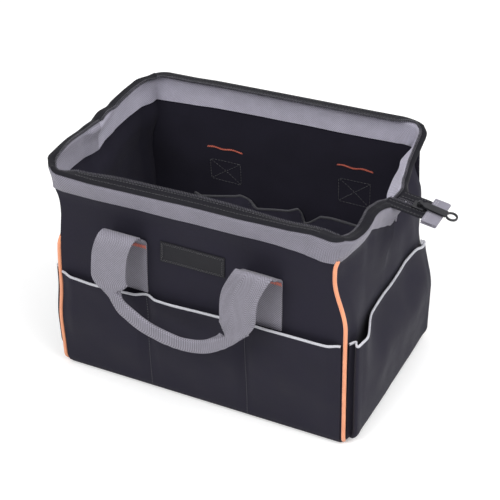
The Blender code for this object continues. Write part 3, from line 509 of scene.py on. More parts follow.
def sheet(name, rows, thickness, mat):
    """A thick sheet from a grid of points."""
    grid = np.array([[tuple(p) for p in row] for row in rows])
    normal = np.cross(np.gradient(grid, axis=1), np.gradient(grid, axis=0))
    normal /= np.linalg.norm(normal, axis=2, keepdims=True) + 1e-12
    back = grid + normal * thickness
    ni, nj = grid.shape[:2]
    count = ni * nj
    verts = np.concatenate([grid.reshape(-1, 3), back.reshape(-1, 3)]).tolist()

    def travelled(axis):
        steps = np.linalg.norm(np.diff(grid, axis=axis), axis=2)
        return np.insert(np.cumsum(steps, axis=axis), 0, 0.0, axis=axis)

    def at(i, j):
        return i * nj + j

    across = travelled(1)
    along = travelled(0)
    uv = [(across[i, j] - across[i, -1] / 2, along[i, j]) for i in range(ni) for j in range(nj)] * 2
    faces = []
    for i in range(ni - 1):
        for j in range(nj - 1):
            a, b, c, d = at(i, j), at(i, j + 1), at(i + 1, j + 1), at(i + 1, j)
            faces.append((a, d, c, b))
            faces.append((a + count, b + count, c + count, d + count))
    rims = []
    for j in range(nj - 1):
        rims += [(at(0, j), at(0, j + 1)), (at(ni - 1, j + 1), at(ni - 1, j))]
    for i in range(ni - 1):
        rims += [(at(i + 1, 0), at(i, 0)), (at(i, nj - 1), at(i + 1, nj - 1))]
    faces += [(a, b, b + count, a + count) for a, b in rims]
    return make(name, verts, faces, [[uv[k] for k in face] for face in faces], mat)


def signed_volume(verts, faces):
    total = 0.0
    for face in faces:
        a = Vector(verts[face[0]])
        for k in range(1, len(face) - 1):
            total += a.dot(Vector(verts[face[k]]).cross(Vector(verts[face[k + 1]])))
    return total


def loft_mesh(loops):
    """Verts, outward faces and corner UVs of a closed skin over rings of points."""
    count = len(loops[0])
    verts = [tuple(p) for loop in loops for p in loop]
    along = run_lengths([sum((Vector(p) for p in loop), Vector()) / count for loop in loops])
    around = run_lengths(list(loops[0]) + [loops[0][0]])
    faces = []
    uvs = []
    for i in range(len(loops) - 1):
        for j in range(count):
            a, b = i * count + j, i * count + (j + 1) % count
            faces.append((a, b, b + count, a + count))
            (u0, u1), (v0, v1) = along[i:i + 2], around[j:j + 2]
            uvs.append([(u0, v0), (u0, v1), (u1, v1), (u1, v0)])
    last = (len(loops) - 1) * count
    faces.append(tuple(reversed(range(count))))
    uvs.append([(along[0], around[j]) for j in reversed(range(count))])
    faces.append(tuple(range(last, last + count)))
    uvs.append([(along[-1], around[j]) for j in range(count)])
    if signed_volume(verts, faces) < 0:
        faces = [tuple(reversed(face)) for face in faces]
        uvs = [list(reversed(item)) for item in uvs]
    return verts, faces, uvs


def lofts(name, groups, mat, sharp=50.0, move=sag):
    """One piece of one or many lofts."""
    verts = []
    faces = []
    uvs = []
    for loops in groups:
        some_verts, some_faces, some_uvs = loft_mesh(loops)
        faces += [tuple(k + len(verts) for k in face) for face in some_faces]
        verts += some_verts
        uvs += some_uvs
    return make(name, verts, faces, uvs, mat, sharp, move)


def loft(name, loops, mat, sharp=50.0, move=sag):
    return lofts(name, [loops], mat, sharp, move)


def tube_loops(path, radius, sides=10):
    """Rings round a line of points."""
    path = [Vector(p) for p in path]
    loops = []
    side = None
    for i, spot in enumerate(path):
        along = (path[min(i + 1, len(path) - 1)] - path[max(i - 1, 0)]).normalized()
        if side is None:
            side = Vector((0, 0, 1)) if abs(along.z) < 0.9 else Vector((1, 0, 0))
            side = (side - along * side.dot(along)).normalized()
        side = (side - along * side.dot(along)).normalized()
        other = along.cross(side)
        r = radius[i] if isinstance(radius, list) else radius
        turns = [2 * math.pi * k / sides for k in range(sides)]
        loops.append([spot + side * (r * math.cos(a)) + other * (r * math.sin(a)) for a in turns])
    return loops


def stitches(name, paths, out, mat, length=0.0024, gap=0.0011, radius=0.00028, move=sag):
    """Rows of short thread stitches that dip into the cloth at both ends."""
    groups = []
    lift = Vector(out) * radius
    for path in paths:
        path = [Vector(p) for p in path]
        stops = run_lengths(path)
        s = gap
        while s + length < stops[-1]:
            ends = []
            for q in (s, s + length / 2, s + length):
                k, t = place_on(stops, q)
                ends.append(path[k].lerp(path[k + 1], t))
            line = [ends[0] - lift * 0.8, ends[0].lerp(ends[1], 0.35) + lift * 0.7,
                    ends[2].lerp(ends[1], 0.35) + lift * 0.7, ends[2] - lift * 0.8]
            groups.append(tube_loops(line, [radius * 0.7, radius, radius, radius * 0.7], 5))
            s += length + gap
    return lofts(name, groups, mat, 80.0, move)


def seams_along(outline, y, count):
    """Lines of stitch places in an upright plane, one for each leg of an outline of (x, z)."""
    return [[(lerp(ax, bx, t), y, lerp(az, bz, t)) for t in spread(0, 1, count)]
            for (ax, az), (bx, bz) in zip(outline, outline[1:])]


def box_outline(x0, x1, z0, z1):
    return [(x0, z0), (x1, z0), (x1, z1), (x0, z1), (x0, z0)]


def tack(name, bars, thread, mat=RED_THREAD):
    """Bar tacks: rows of slanted threads, from bars of (middle, half, count, y, z, height, wave, sink)."""
    groups = []
    for cx, half, count, y, z, height, wave, sink in bars:
        for k in range(count):
            x = cx + lerp(-half, half, k / (count - 1))
            low = z + wave * math.sin(k * 0.31)
            up, down = (height, 0) if k % 2 else (0, height)
            ends = [(x, y, low + up), (x + 0.0009, y - sink, low + down)]
            groups.append(tube_loops(ends, thread, 6))
    return lofts(name, groups, mat, 80.0)


def catmull(points, per_span):
    """Smooth line through points."""
    out = []
    last = len(points) - 1
    for i in range(last):
        knots = points[max(i - 1, 0)], points[i], points[i + 1], points[min(i + 2, last)]
        for k in range(per_span):
            t = k / per_span
            out.append([0.5 * (2 * b + (c - a) * t + (2 * a - 5 * b + 4 * c - d) * t * t
                               + (3 * b - a - 3 * c + d) * t ** 3)
                        for a, b, c, d in zip(*knots)])
    out.append(list(points[-1]))
    return out


def rounded_ring(half_x, half_y, radius, z, steps):
    """A level rectangle with round corners."""
    ring = []
    for sx, sy, start in ((1, 1, 0), (-1, 1, 90), (-1, -1, 180), (1, -1, 270)):
        for a in [math.radians(start + 90 * k / steps) for k in range(steps + 1)]:
            x = sx * (half_x - radius) + radius * math.cos(a)
            ring.append((x, sy * (half_y - radius) + radius * math.sin(a), z))
    return ring


def stands_for(obj, *nodes):
    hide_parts(*nodes)


def on_wall(obj):
    """Cloth of a long wall: its placement is baked into the mesh."""
    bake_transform(obj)


# Cloth walls

def wall_cloth(end):
    columns = spread(-0.1606, 0.1606, 112)
    levels = HEM_LEVELS + spread(HEM_TOP, 0.2545, 84)
    rows = [[(x, end * 0.1005, z) for x in columns] for z in levels]
    obj = sheet(f"{FACE[end]}_wall_cloth", turned_over(rows, end > 0), PANEL_T, CLOTH)
    on_wall(obj)
    stands_for(obj, f"lower_{FACE[end]}_panel", f"upper_{FACE[end]}_panel")


def end_wall_point(side, y, z):
    """Inner face of an end wall; its top leans in to hang from the leg casings."""
    hem_y = BAR_Y - (0.0055 if side > 0 and y > 0 else 0.002)
    narrow = smooth((z - (NOTCH_Z - 0.012)) / 0.01)
    wide_y = y * lerp(1.0, hem_y / 0.0998, narrow)
    hem_x = lerp(leg_line(-1 if y < 0 else 1), MIDDLE_X, pivot_share(wide_y))
    casing_low = leg_z(wide_y) - CASING_DROP
    rise = smooth((z - (casing_low - 0.05)) / 0.036)
    x = lerp(HALF_L - 0.001, hem_x, rise)
    return (side * (x - 0.001), wide_y, z)


def end_walls(side):
    levels = HEM_LEVELS + spread(HEM_TOP, FOLD_Z, 34)
    rows = [[(side * 0.1605, y, z) for y in spread(-0.1008, 0.1008, 72)] for z in levels]
    low = sheet(f"{HAND[side]}_lower_end_cloth", turned_over(rows, side < 0), PANEL_T, CLOTH)
    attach(low, "lower_bag")
    stands_for(low, f"lower_{HAND[side]}_end_panel")
    for end in (-1, 1):
        tops = [(y, leg_z(y * 0.94) - 0.0062) for y in spread(0.0, end * 0.1006, 38)]
        rows = [[end_wall_point(side, y, lerp(FOLD_Z - 0.0005, top, t)) for y, top in tops]
                for t in spread(0.0, 1.0, 42)]
        name = f"{HAND[side]}_{FACE[end]}_end_cloth"
        obj = sheet(name, turned_over(rows, side * end < 0), PANEL_T, CLOTH)
        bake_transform(obj)
        stands_for(obj, f"{HAND[side]}_end_gusset")


def piping(side, end):
    """Piping of an upright corner: onto the end at the front left, onto the face at the rear right."""
    tag = f"{FACE[end]}_{HAND[side]}"
    turns_to_end = side < 0 and end < 0
    line = [(0.1585, 0.0905, 0.0026), (0.1604, 0.096, 0.0027), (0.1617, 0.1, 0.0042),
            (PIPING_X, 0.102, 0.008)]
    for z in spread(0.012, 0.237 if side > 0 and end < 0 else 0.2285, 60):
        x, y = PIPING_X, 0.1022
        if turns_to_end:
            turned = ease(z, 0.158, 0.022)
            x, y = lerp(PIPING_X, 0.1619, turned), lerp(y, 0.093, turned)
        elif side > 0 and end > 0:
            turned = ease(z, 0.085, 0.022)
            x, y = lerp(PIPING_X, 0.157, turned), lerp(y, 0.1026, turned)
        line.append((x, y, z))
    path = [sag((side * x, end * y, z)) for x, y, z in line]
    loops = []
    for spot, (_, y, _), loop in zip(path, line, tube_loops(path, PIPING_R, 14)):
        slim = lerp(1.0, 0.62, smooth((0.102 - y) / 0.0085)) if turns_to_end and spot.z > 0.1 else 1.0
        loops.append([spot.lerp(Vector(p), slim) for p in loop])
    obj = loft(f"piping_{tag}", loops, PIPING, move=as_is)
    on_wall(obj)
    stands_for(obj, f"lower_piping_{tag}", f"upper_piping_{tag}")


def base_cloth():
    steps = ((0.003, 0.0), (0.001, 0.0004), (0.0, 0.0011), (0.0006, 0.002), (0.003, 0.0022))
    loops = [rounded_ring(0.1628 - inset, 0.1028 - inset, 0.006, z, 8) for inset, z in steps]
    obj = loft("base_cloth", loops, CLOTH)
    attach(obj, "lower_bag")
    stands_for(obj, "base_panel")


# Webbing casing and zipper tape; profile points are (inward, up)

FRONT_HEM = mm((-163, 3), (-115, 5.2), (-45, 5.8), (10, 6), (60, 7.6), (88, 8.4), (110, 6.8), (128, 4.8),
               (163, 5.8))
LEG_HEM = mm((0, 10), (5, 16), (9.5, 20), (13, 18.5), (16.5, 20.8), (30, 20.5), (45, 13), (60, 11), (75, 13),
             (85, 16.5), (95, 21))
LEG_STOPS = spread(BAR_Y - CORNER, 0.034, 12) + spread(0.031, 0.00015, 18)


def casing_loop(half_w, half_h, drop_out, drop_in):
    """Webbing folded over the bar: an arc with two hanging flaps."""
    hem = 0.0013
    neck = -0.0095
    far = hem + CASING_T
    turns = spread(math.radians(200), math.radians(-20), 9)
    inner = [(-hem, -drop_out), (-hem, -drop_out * 0.6), (-hem - 0.0001, neck)]
    inner += [(half_w * math.cos(a), half_h * math.sin(a)) for a in turns]
    inner += [(hem + 0.0001, neck), (hem, -drop_in * 0.6), (hem, -drop_in)]
    outer = [(hem + CASING_T * 0.5, -drop_in - 0.0003), (far, -drop_in), (far, -drop_in * 0.6), (far, neck)]
    outer += [((half_w + CASING_T) * math.cos(a), (half_h + CASING_T) * math.sin(a)) for a in reversed(turns)]
    outer += [(-far, neck), (-far, -drop_out * 0.6), (-far, -drop_out),
              (-hem - CASING_T * 0.5, -drop_out - 0.0003)]
    return inner + outer


def band_drop(end, x, outside):
    """How far the webbing band hangs below the rim at x."""
    wave = 0.0007 * noise.noise(Vector((x * 22, end * 3.0, 4.0 if outside else 8.0)))
    if outside:
        hem = table(FRONT_HEM, x) if end < 0 else 0.0
        drop = 0.0262 + 0.003 * ease(x, -0.02, 0.16) + 0.0012 * smooth(-(x + 0.08) / 0.07)
        return drop - hem + wave
    return 0.0292 - 0.0025 * ease(x, -0.16, 0.1) + wave


def bar_loop(profile, x, end):
    return [(x, end * (BAR_Y - n), RIM_Z + v) for n, v in profile]


def long_casing(end):
    reach = leg_line(end) - CORNER
    loops = []
    for x in spread(-reach, reach, 80):
        profile = casing_loop(ROLL_IN, ROLL_IN, band_drop(end, x, True), band_drop(end, x, False))
        loops.append(bar_loop(profile, x, end))
    # The rear band takes the lighter webbing copy: painted light
    obj = loft(f"{FACE[end]}_band", loops, WEBBING if end < 0 else REAR_PAINTED_LIGHT_WEB)
    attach(obj, f"{FACE[end]}_wall")
    stands_for(obj, f"{FACE[end]}_casing")


def corner_loops(side, end, profile_at, stops):
    """Loops of a piece that runs off the bar, round the corner and down the leg."""
    leg_x = leg_line(end)
    loops = []
    for t in spread(0.0, 1.0, 16)[:-1]:
        points = profile_at(BAR_Y, leg_x - CORNER * (1 - t))
        loops.append([(side * lerp(leg_x - CORNER, leg_x - n, t), end * (BAR_Y - n), RIM_Z + v)
                      for n, v in points])
    for t in spread(0.0, 1.0, 16)[:-1]:
        points = profile_at(BAR_Y - CORNER * t, leg_x)
        spots = [lerp(BAR_Y - n, BAR_Y - CORNER, t) for n, _ in points]
        loops.append([(side * (leg_x - n), end * q, leg_z(q) + v) for (n, v), q in zip(points, spots)])
    for y in stops:
        x = lerp(leg_x, MIDDLE_X, pivot_share(y))
        loops.append([(side * (x - n), end * y, leg_z(y) + v) for n, v in profile_at(y, leg_x)])
    return loops


def from_wall(obj):
    """A corner piece that runs off the long wall and down a leg: its placement is baked into the mesh."""
    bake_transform(obj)


def leg_casing(side, end):
    tag = f"{FACE[end]}_{HAND[side]}"

    def profile_at(y, x):
        on_bar = ease(y / BAR_Y, 0.75, 0.2)
        free = table(LEG_HEM, y) if side > 0 and end < 0 else EDGE_DROP
        if side > 0 and end > 0:
            free = lerp(0.017, EDGE_DROP, smooth(y / 0.022))
        free_inside = lerp(free, EDGE_DROP, smooth(y / 0.03))
        out = lerp(free, band_drop(end, side * x, True), on_bar)
        inside = lerp(free_inside, band_drop(end, side * x, False), on_bar)
        wave = (1 - on_bar) * 0.0009 * noise.noise(Vector((y * 30, side * 2.0, end * 5.0)))
        return casing_loop(*pivot_size(y), out + wave, inside + wave)

    loops = corner_loops(side, end, profile_at, LEG_STOPS)
    # Rear leg casings take the lighter webbing copy: painted light
    obj = loft(f"leg_band_{tag}", loops, WEBBING if end < 0 else REAR_PAINTED_LIGHT_WEB)
    # Painted light: faces that point in toward the bag take the lighter webbing copy
    if end < 0:
        obj.data.materials.append(LEG_PAINTED_LIGHT_WEB)
        for face in obj.data.polygons:
            face.material_index = 1 if face.normal.x * side < -0.3 else 0
    from_wall(obj)
    stands_for(obj, f"leg_casing_{tag}")


def tape_tilt(end, y, x):
    """How far the tape's free edge drops toward the front corners."""
    if end > 0:
        return 0.0
    if x < 0:
        return 0.0042 * ease(-x, 0.08, 0.06) * ease(y, 0.06, 0.03)
    return 0.0044 * ease(x, 0.03, 0.07) * ease(y, 0.04, 0.045)


def leg_reach(side, end, y, x):
    """How far the zipper tape reaches in from a leg."""
    if side == end:
        narrow = 0.0034 if side > 0 else 0.0048
        return lerp(BAR_REACH, narrow, smooth((x - leg_line(end) + CORNER) / (CORNER * 0.8)))
    return lerp(0.0068, BAR_REACH, ease(y, 0.062, 0.038))


def tape_profile(half_w, half_h, reach, tilt):
    """Outline of the tape's section, and where its coil sits."""
    low_w = half_w + CASING_T + FIT
    low_h = half_h + CASING_T + FIT
    turns = spread(math.radians(142), math.radians(80), 8)
    lower = [(low_w * math.cos(a), low_h * math.sin(a)) for a in turns]
    upper = [((low_w + TAPE_T) * math.cos(a), (low_h + TAPE_T) * math.sin(a)) for a in turns]
    for share, lift in ((0.25, 0.0004), (0.5, 0.0007), (0.75, 0.0009), (1.0, 0.001)):
        n = lerp(0.0012, reach, share)
        lower.append((n, low_h + lift - tilt * share))
        upper.append((n, low_h + lift - tilt * share + TAPE_T))
    return lower + list(reversed(upper)), (reach - 0.0002, low_h + 0.0014 - tilt)


def coil(name, line, move=sag):
    """Zipper coil: wire wound round the tape's edge, along a line of (point, inward) pairs."""
    stops = run_lengths([p for p, _ in line])
    pitch = 0.0017
    steps = 9
    path = []
    for k in range(int(stops[-1] / pitch * steps)):
        i, t = place_on(stops, k * pitch / steps)
        spot = Vector(line[i][0]).lerp(Vector(line[i + 1][0]), t)
        inward = Vector(line[i][1]).lerp(Vector(line[i + 1][1]), t).normalized()
        a = 2 * math.pi * k / steps
        path.append(spot + inward * (0.00125 * math.cos(a)) + Vector((0, 0, 0.00105 * math.sin(a))))
    return loft(name, tube_loops(path, 0.00036, 5), COIL, 80.0, move)


def long_tape(end):
    name = FACE[end]
    reach = leg_line(end) - CORNER
    places = spread(-reach, reach, 60)
    loops = []
    line = []
    for x in places:
        profile, root = tape_profile(ROLL_IN, ROLL_IN, BAR_REACH, tape_tilt(end, BAR_Y, x))
        loops.append(bar_loop(profile, x, end))
        line.append((bar_loop([root], x, end)[0], (0, -end, 0)))
    tape = loft(f"{name}_tape", loops, TAPE)
    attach(tape, f"{name}_wall")
    stands_for(tape, f"{name}_zipper_tape")
    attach(coil(f"{name}_coil", line), f"{name}_wall")
    rows = []
    for n, v in ((0.0012, 0.0053), (0.0072, 0.006)):
        share = (n - 0.0012) / (BAR_REACH - 0.0012)
        rows.append([bar_loop([(n, v - share * tape_tilt(end, BAR_Y, x))], x, end)[0] for x in places])
    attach(stitches(f"{name}_tape_stitches", rows, (0, 0, 1), BLACK_THREAD), f"{name}_wall")


def leg_tape(side, end):
    tag = f"{FACE[end]}_{HAND[side]}"

    def whole(y, x):
        return tape_profile(*pivot_size(y), leg_reach(side, end, y, x), tape_tilt(end, y, side * x))

    loops = corner_loops(side, end, lambda y, x: whole(y, x)[0], LEG_STOPS)
    obj = loft(f"leg_tape_{tag}_visual", loops, TAPE)
    from_wall(obj)
    stands_for(obj, f"leg_tape_{tag}")
    line = []
    for k, loop in enumerate(corner_loops(side, end, lambda y, x: [whole(y, x)[1]], LEG_STOPS)):
        t = ease(k, 8, 14)
        line.append((loop[0], Vector((-side * t, -end * (1 - t), 0)).normalized()))
    from_wall(coil(f"leg_coil_{tag}", line))


def frame_tube(end):
    """The steel U inside the casings: a bar, two corners and two legs that end in flat lugs."""
    shift = -end * (TUBE_R - LUG_HALF_T)
    turns = [2 * math.pi * (k + 0.5) / 12 for k in range(12)]

    def ring_at(y, x):
        flat = smooth((LUG_LENGTH * 1.6 - y) / (LUG_LENGTH * 0.9))
        half_n = lerp(TUBE_R, LUG_HALF_T, flat)
        half_v = lerp(TUBE_R, LUG_HALF_H, flat)
        return [(half_n * math.cos(a) - shift * flat, half_v * math.sin(a)) for a in turns]

    stops = spread(BAR_Y - CORNER, 0.03, 8) + spread(0.026, -LUG_PAST, 10)
    reach = leg_line(end) - CORNER
    loops = list(reversed(corner_loops(-1, end, ring_at, stops)))
    loops += [bar_loop(ring_at(BAR_Y, x), x, end) for x in spread(-reach, reach, 30)[1:-1]]
    loops += corner_loops(1, end, ring_at, stops)
    obj = loft(f"{FACE[end]}_tube", loops, STEEL)
    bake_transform(obj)
    stands_for(obj, f"{FACE[end]}_frame_tube")


def rivets():
    """The turned rivets keep their shape and sit where the soft mouth holds the legs."""
    for side in (-1, 1):
        spot = Vector((side * MIDDLE_X, 0, PIVOT_Z))
        step = sag(spot) - spot - Vector((side * SOLID_BOW if side < 0 else 0.0, 0, 0))
        for part, body in (("head", "front_frame"), ("tail", "rear_frame")):
            name = f"rivet_{part}_{HAND[side]}"
            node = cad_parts[name]
            verts = [node.matrix_world @ v.co + step for v in node.data.vertices]
            faces = [tuple(face.vertices) for face in node.data.polygons]
            uvs = [[(verts[k].y, verts[k].z) for k in face] for face in faces]
            obj = make(f"{name}_set", verts, faces, uvs, STEEL, 40.0, as_is)
            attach(obj, body)
            stands_for(obj, name)


# Pockets

INNER_EDGE = mm((-108, 109.5), (-99, 112), (-49, 126.5), (-40, 120), (-32, 117), (-26, 116.5), (19, 126),
                (23, 120), (27, 109), (48, 127), (60, 128.5), (91, 127), (108, 124))


def rim_off(x, seams, depth):
    """How far a pocket's rim stands off its wall: least at the seams."""
    nearest = min(abs(x - seam) for seam in seams)
    return lerp(0.0017, depth, smooth(nearest / 0.014))


def binding_loops(path):
    """Binding folded over a pocket's edge."""
    drop = 0.0011
    gap = 0.0007
    wide = 0.0011
    half = [(gap, 0.0002), (gap, -drop), (wide - 0.0002, -drop - 0.0002), (wide, -drop), (wide, 0.0004),
            (wide * 0.6, 0.0009)]
    profile = [(-gap, -drop), (-gap, 0.0002)] + half + [(0, 0.0011)]
    profile += [(-n, v) for n, v in reversed(half[2:])]
    loops = []
    for i, spot in enumerate(path):
        ahead = path[min(i + 1, len(path) - 1)] - path[max(i - 1, 0)]
        ahead = Vector((ahead.x, ahead.y, 0)).normalized()
        normal = Vector((-ahead.y, ahead.x, 0))
        loops.append([spot + normal * n + Vector((0, 0, v)) for n, v in profile])
    return loops


def outer_edge(x):
    """Top of an outside pocket: slack between its seams, and a little higher toward the right."""
    seams = (-FLAT_HALF, *STITCH_LINES, FLAT_HALF)
    dip = 0.0
    for a, b in zip(seams, seams[1:]):
        if a <= x <= b:
            t = (x - a) / (b - a)
            dip = 0.0016 * 4 * t * (1 - t)
            break
    return POCKET_TOP + RIGHT_RISE * ease(x, -0.13, 0.26) - dip


def inner_edge(x):
    return table(INNER_EDGE, x)


def flat_pocket(tag, face_y, outward, top_at, half, lines, depth, mat, trim, nodes):
    columns = spread(-half, half, 150)
    rows = []
    for t in spread(0.0, 1.0, 46):
        row = []
        for x in columns:
            stand = rim_off(x, (-half, *lines, half), depth) - 0.0017
            low = lerp(0.0004, 0.0017, ease(t, 0.8, 0.2))
            z = lerp(POCKET_BOTTOM, top_at(x) - 0.0016, t)
            belly = 0.0009 * noise.noise(Vector((x * 24, z * 16, 20.0 + face_y * 50)))
            belly *= smooth(stand / 0.003) * smooth(t * 4)
            row.append((x, face_y + outward * (low + stand * smooth(t * 1.6) + belly), z))
        rows.append(row)
    cloth = sheet(f"{tag}_cloth", turned_over(rows, outward > 0), POCKET_T, mat)
    path = [Vector(p) + Vector((0, outward * POCKET_T / 2, 0.0001)) for p in rows[-1]]
    rim = loft(f"{tag}_edge", binding_loops(path), trim)
    seams = []
    for x in lines:
        k = min(range(len(columns)), key=lambda q: abs(columns[q] - x))
        seams.append([(x, row[k][1] + outward * POCKET_T, row[k][2]) for row in rows])
    sewn = stitches(f"{tag}_seams", seams, (0, outward, 0), BLACK_THREAD)
    for obj in (cloth, rim, sewn):
        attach(obj, "lower_bag")
    stands_for(cloth, nodes[0])
    stands_for(rim, nodes[1])
    top_at(0) - POCKET_BOTTOM


def end_plan(side, t):
    """Plan of an end pocket at height share t: places across the bag and how far they stand off."""
    share = min(1.0, t / (0.08 if side > 0 else 0.18)) ** 0.4
    depth = (0.0115 if side > 0 else 0.0055) * share
    fold = lerp(END_HALF - 0.003, END_HALF - 0.0065, share)
    corner = lerp(END_HALF - 0.007, END_HALF - 0.0005, share)
    low = lerp(0.0004, 0.0017, ease(t, 0.7, 0.3))
    rest = max(depth - low, 0)
    gather = 0.62 * ease(t, 0.5, 0.45) if side > 0 else 0.0
    front, rear = [
        [(END_HALF, low), (fold, low + part * 0.46), (corner, low + part * 0.92),
         (corner - 0.004, low + part * 1.05), (corner - 0.012, low + part), (0.062, low + part)]
        for part in (rest, rest * (1 - gather))]
    middle = [(-0.031, low + rest), (0.0, low + rest), (0.031, low + lerp(rest, rear[-1][1] - low, 0.4))]
    return [(-y, off) for y, off in front] + middle + list(reversed(rear))


def end_pocket(side):
    tag = f"{HAND[side]}_end_pocket"
    rows = []
    for t in spread(0.0, 0.2, 12) + spread(0.22, 1.0, 34):
        z = lerp(POCKET_BOTTOM, POCKET_TOP - 0.0016 + (RIGHT_RISE if side > 0 else 0.0), t)
        pull = ease(t, 0.55, 0.45)
        row = []
        for y, off in catmull(end_plan(side, t), 6):
            middle = smooth((0.088 - abs(y)) / 0.05)
            drawn = lerp(off, max(off * 0.32, 0.0022), pull * middle)
            swell = 0.002 * smooth((0.085 - abs(y)) / 0.04) * smooth(t / 0.3)
            swell *= 1 - ease(t, 0.55, 0.4)
            uneven = 0.0008 * noise.noise(Vector((y * 26, z * 18, 31.0 * side))) * smooth(t * 4) * middle
            dip = 0.009 * ease(y, 0.068, 0.024) * ease(t, 0.5, 0.5) if side > 0 else 0.0
            row.append((side * (HALF_L + drawn + swell + uneven), y, z - 0.0012 * middle * t - dip))
        rows.append(row)
    cloth = sheet(f"{tag}_cloth", turned_over(rows, side < 0), POCKET_T, CLOTH)
    edge = [Vector(p) for p in rows[-1]]
    path = []
    for i, p in enumerate(edge):
        ahead = edge[min(i + 1, len(edge) - 1)] - edge[max(i - 1, 0)]
        out = Vector((ahead.y, -ahead.x, 0)).normalized() * side
        path.append(p + out * (POCKET_T / 2) + Vector((0, 0, 0.0001)))
    rim = loft(f"{tag}_edge", binding_loops(path), BINDING)
    for obj in (cloth, rim):
        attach(obj, "lower_bag")
    stands_for(cloth, tag)
    stands_for(rim, f"{tag}_binding")


# Handles: rows of (share of the way out, then x and z of the outer edge and of the inner one in millimetres)

HANDLE_EDGES = (
    (0.03, -95, 207.5, -55, 207.5), (0.23, -95.6, 209.7, -55.6, 209.9), (0.49, -97.2, 207.8, -57.2, 208.6),
    (0.66, -99.3, 200.5, -59.4, 202.5), (0.78, -101.6, 187.5, -61.7, 190), (0.88, -102.2, 166, -62, 170),
    (0.92, -100.3, 156, -62, 158.5), (0.94, -95.5, 149.8, -65, 153.5), (0.96, -88, 144, -71.5, 150),
    (0.97, -81.5, 138.5, -73.8, 146.5), (0.98, -77.5, 131.5, -69, 141), (0.98, -70, 120.8, -60.5, 133),
    (0.99, -50, 107.8, -41.5, 121.5), (0.99, -25, 99.8, -19, 114.2), (1, 0.2, 98, 1, 111.5),
    (0.99, 24.5, 102.7, 20, 115.5), (0.99, 45, 114.8, 37.5, 124.8), (0.98, 56, 124.5, 46.5, 130),
    (0.97, 66, 134.2, 50, 131.8), (0.96, 74.5, 143, 48.5, 135.2), (0.94, 80, 151.8, 45.2, 142.5),
    (0.92, 82, 160.5, 43.2, 152), (0.88, 82.4, 170.3, 42.4, 165), (0.83, 83, 180, 42.6, 178),
    (0.76, 85, 189, 44.6, 189), (0.64, 89.5, 200.5, 49.5, 200.8), (0.46, 93.2, 208, 53.2, 208),
    (0.22, 94.8, 209.8, 54.8, 209.8), (0.03, 95, 207.5, 55, 207.5),
)
SECTION_POINTS = 41


def fold_section(width):
    """Webbing with its edges folded behind a visible panel: points (across, behind)."""
    far = min(WEB_WIDTH - width, 0.0132)
    near = WEB_WIDTH - width - far
    parts = []
    for sign, flap, bend in ((-1, near, 0.0013), (1, far, 0.0024)):
        turn = math.radians(178) * smooth(flap / 0.004)
        reach = width / 2 + flap
        count = round(reach / (WEB_WIDTH / (SECTION_POINTS - 1)))
        x, d = 0.0, 0.0
        part = []
        for k in range(count):
            s = (k + 0.5) * reach / count
            a = turn * smooth((s - width / 2 + bend) / (2 * bend))
            x += sign * reach / count * math.cos(a)
            d += reach / count * math.sin(a)
            part.append((x, d))
        parts.append(part)
    return list(reversed(parts[0])) + [(0.0, 0.0)] + parts[1]


def even_points(line, count):
    """The same number of points, evenly spaced, on any line."""
    stops = run_lengths([(x, d, 0) for x, d in line])
    out = []
    for k in range(count):
        j, t = place_on(stops, stops[-1] * k / (count - 1))
        out.append((lerp(line[j][0], line[j + 1][0], t), lerp(line[j][1], line[j + 1][1], t)))
    return out


def handle(end):
    rows = []
    edges = []
    for out, *places in catmull(HANDLE_EDGES, 5):
        outer_x, outer_z, inner_x, inner_z = mm(places)[0]
        step = CREST_STEP * (1 - out) * (1 if outer_x > 0 else -1)
        y = end * (CREST_Y + out * HANDLE_OUT + step)
        edges.append((Vector((outer_x, y, outer_z)), Vector((inner_x, y, inner_z))))
    last = len(edges) - 1
    for i, (outer, inner) in enumerate(edges):
        before = sum(edges[max(i - 1, 0)], Vector()) / 2
        after = sum(edges[min(i + 1, last)], Vector()) / 2
        wide = (inner - outer).normalized()
        behind = wide.cross((after - before).normalized()).normalized() * -end
        section = even_points(fold_section(min((inner - outer).length, WEB_WIDTH)), SECTION_POINTS)
        rows.append([(outer + inner) / 2 + wide * x + behind * d for x, d in section])
    obj = sheet(f"{FACE[end]}_loop", turned_over(rows, end < 0), 0.0014, HANDLE_WEB)
    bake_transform(obj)
    stands_for(obj, f"{FACE[end]}_handle")


def strap(side, end):
    """Anchor strap: flat on the wall up to its tack, then curled out to the handle."""
    tag = f"{FACE[end]}_strap_{HAND[side]}"
    flat = HALF_D + FIT
    reach = CREST_Y - HALF_D + CREST_STEP * side - FIT
    rise = CREST_Z - SEWN_TOP
    knots = [(flat, z) for z in (0.13, 0.145, 0.159, 0.174, SEWN_TOP)]
    curl = ((0.04, 0.24), (0.24, 0.5), (0.56, 0.745))
    knots += [(flat + reach * out, SEWN_TOP + rise * up) for out, up in curl]
    knots.append((flat + reach * 0.97, CREST_Z - 0.0005))
    columns = spread(-WEB_WIDTH / 2, WEB_WIDTH / 2, 15)
    rows = [[(side * STRAP_X + u, end * y, z) for u in columns] for y, z in catmull(knots, 5)]
    obj = sheet(f"{tag}_webbing", turned_over(rows, end > 0), 0.0015, HANDLE_WEB)
    on_wall(obj)
    stands_for(obj, tag)
    bar = (side * STRAP_X, 0.0185, 40, end * (flat + 0.0017), 0.1862, 0.0042, 0.0, 0.0)
    on_wall(tack(f"{tag}_tack", [bar], 0.00042))


def patch():
    """Bare name patch with its sewn border."""
    face = HALF_D + FIT
    left, right, low, high = -0.0398, 0.0318, 0.1752, 0.2008
    rows = [[(x, -face, z) for x in spread(left, right, 40)] for z in spread(low, high, 16)]
    obj = sheet("name_patch_cloth", rows, 0.0009, LABEL)
    border = []
    for inset in (0.0016, 0.003):
        outline = box_outline(left + inset, right - inset, low + inset, high - inset)
        border += seams_along(outline, -(face + 0.001), 12)
    sewn = stitches("name_patch_stitches", border, (0, -1, 0), BLACK_THREAD, 0.002, 0.0008, 0.00026)
    on_wall(obj)
    on_wall(sewn)
    stands_for(obj, "name_patch")


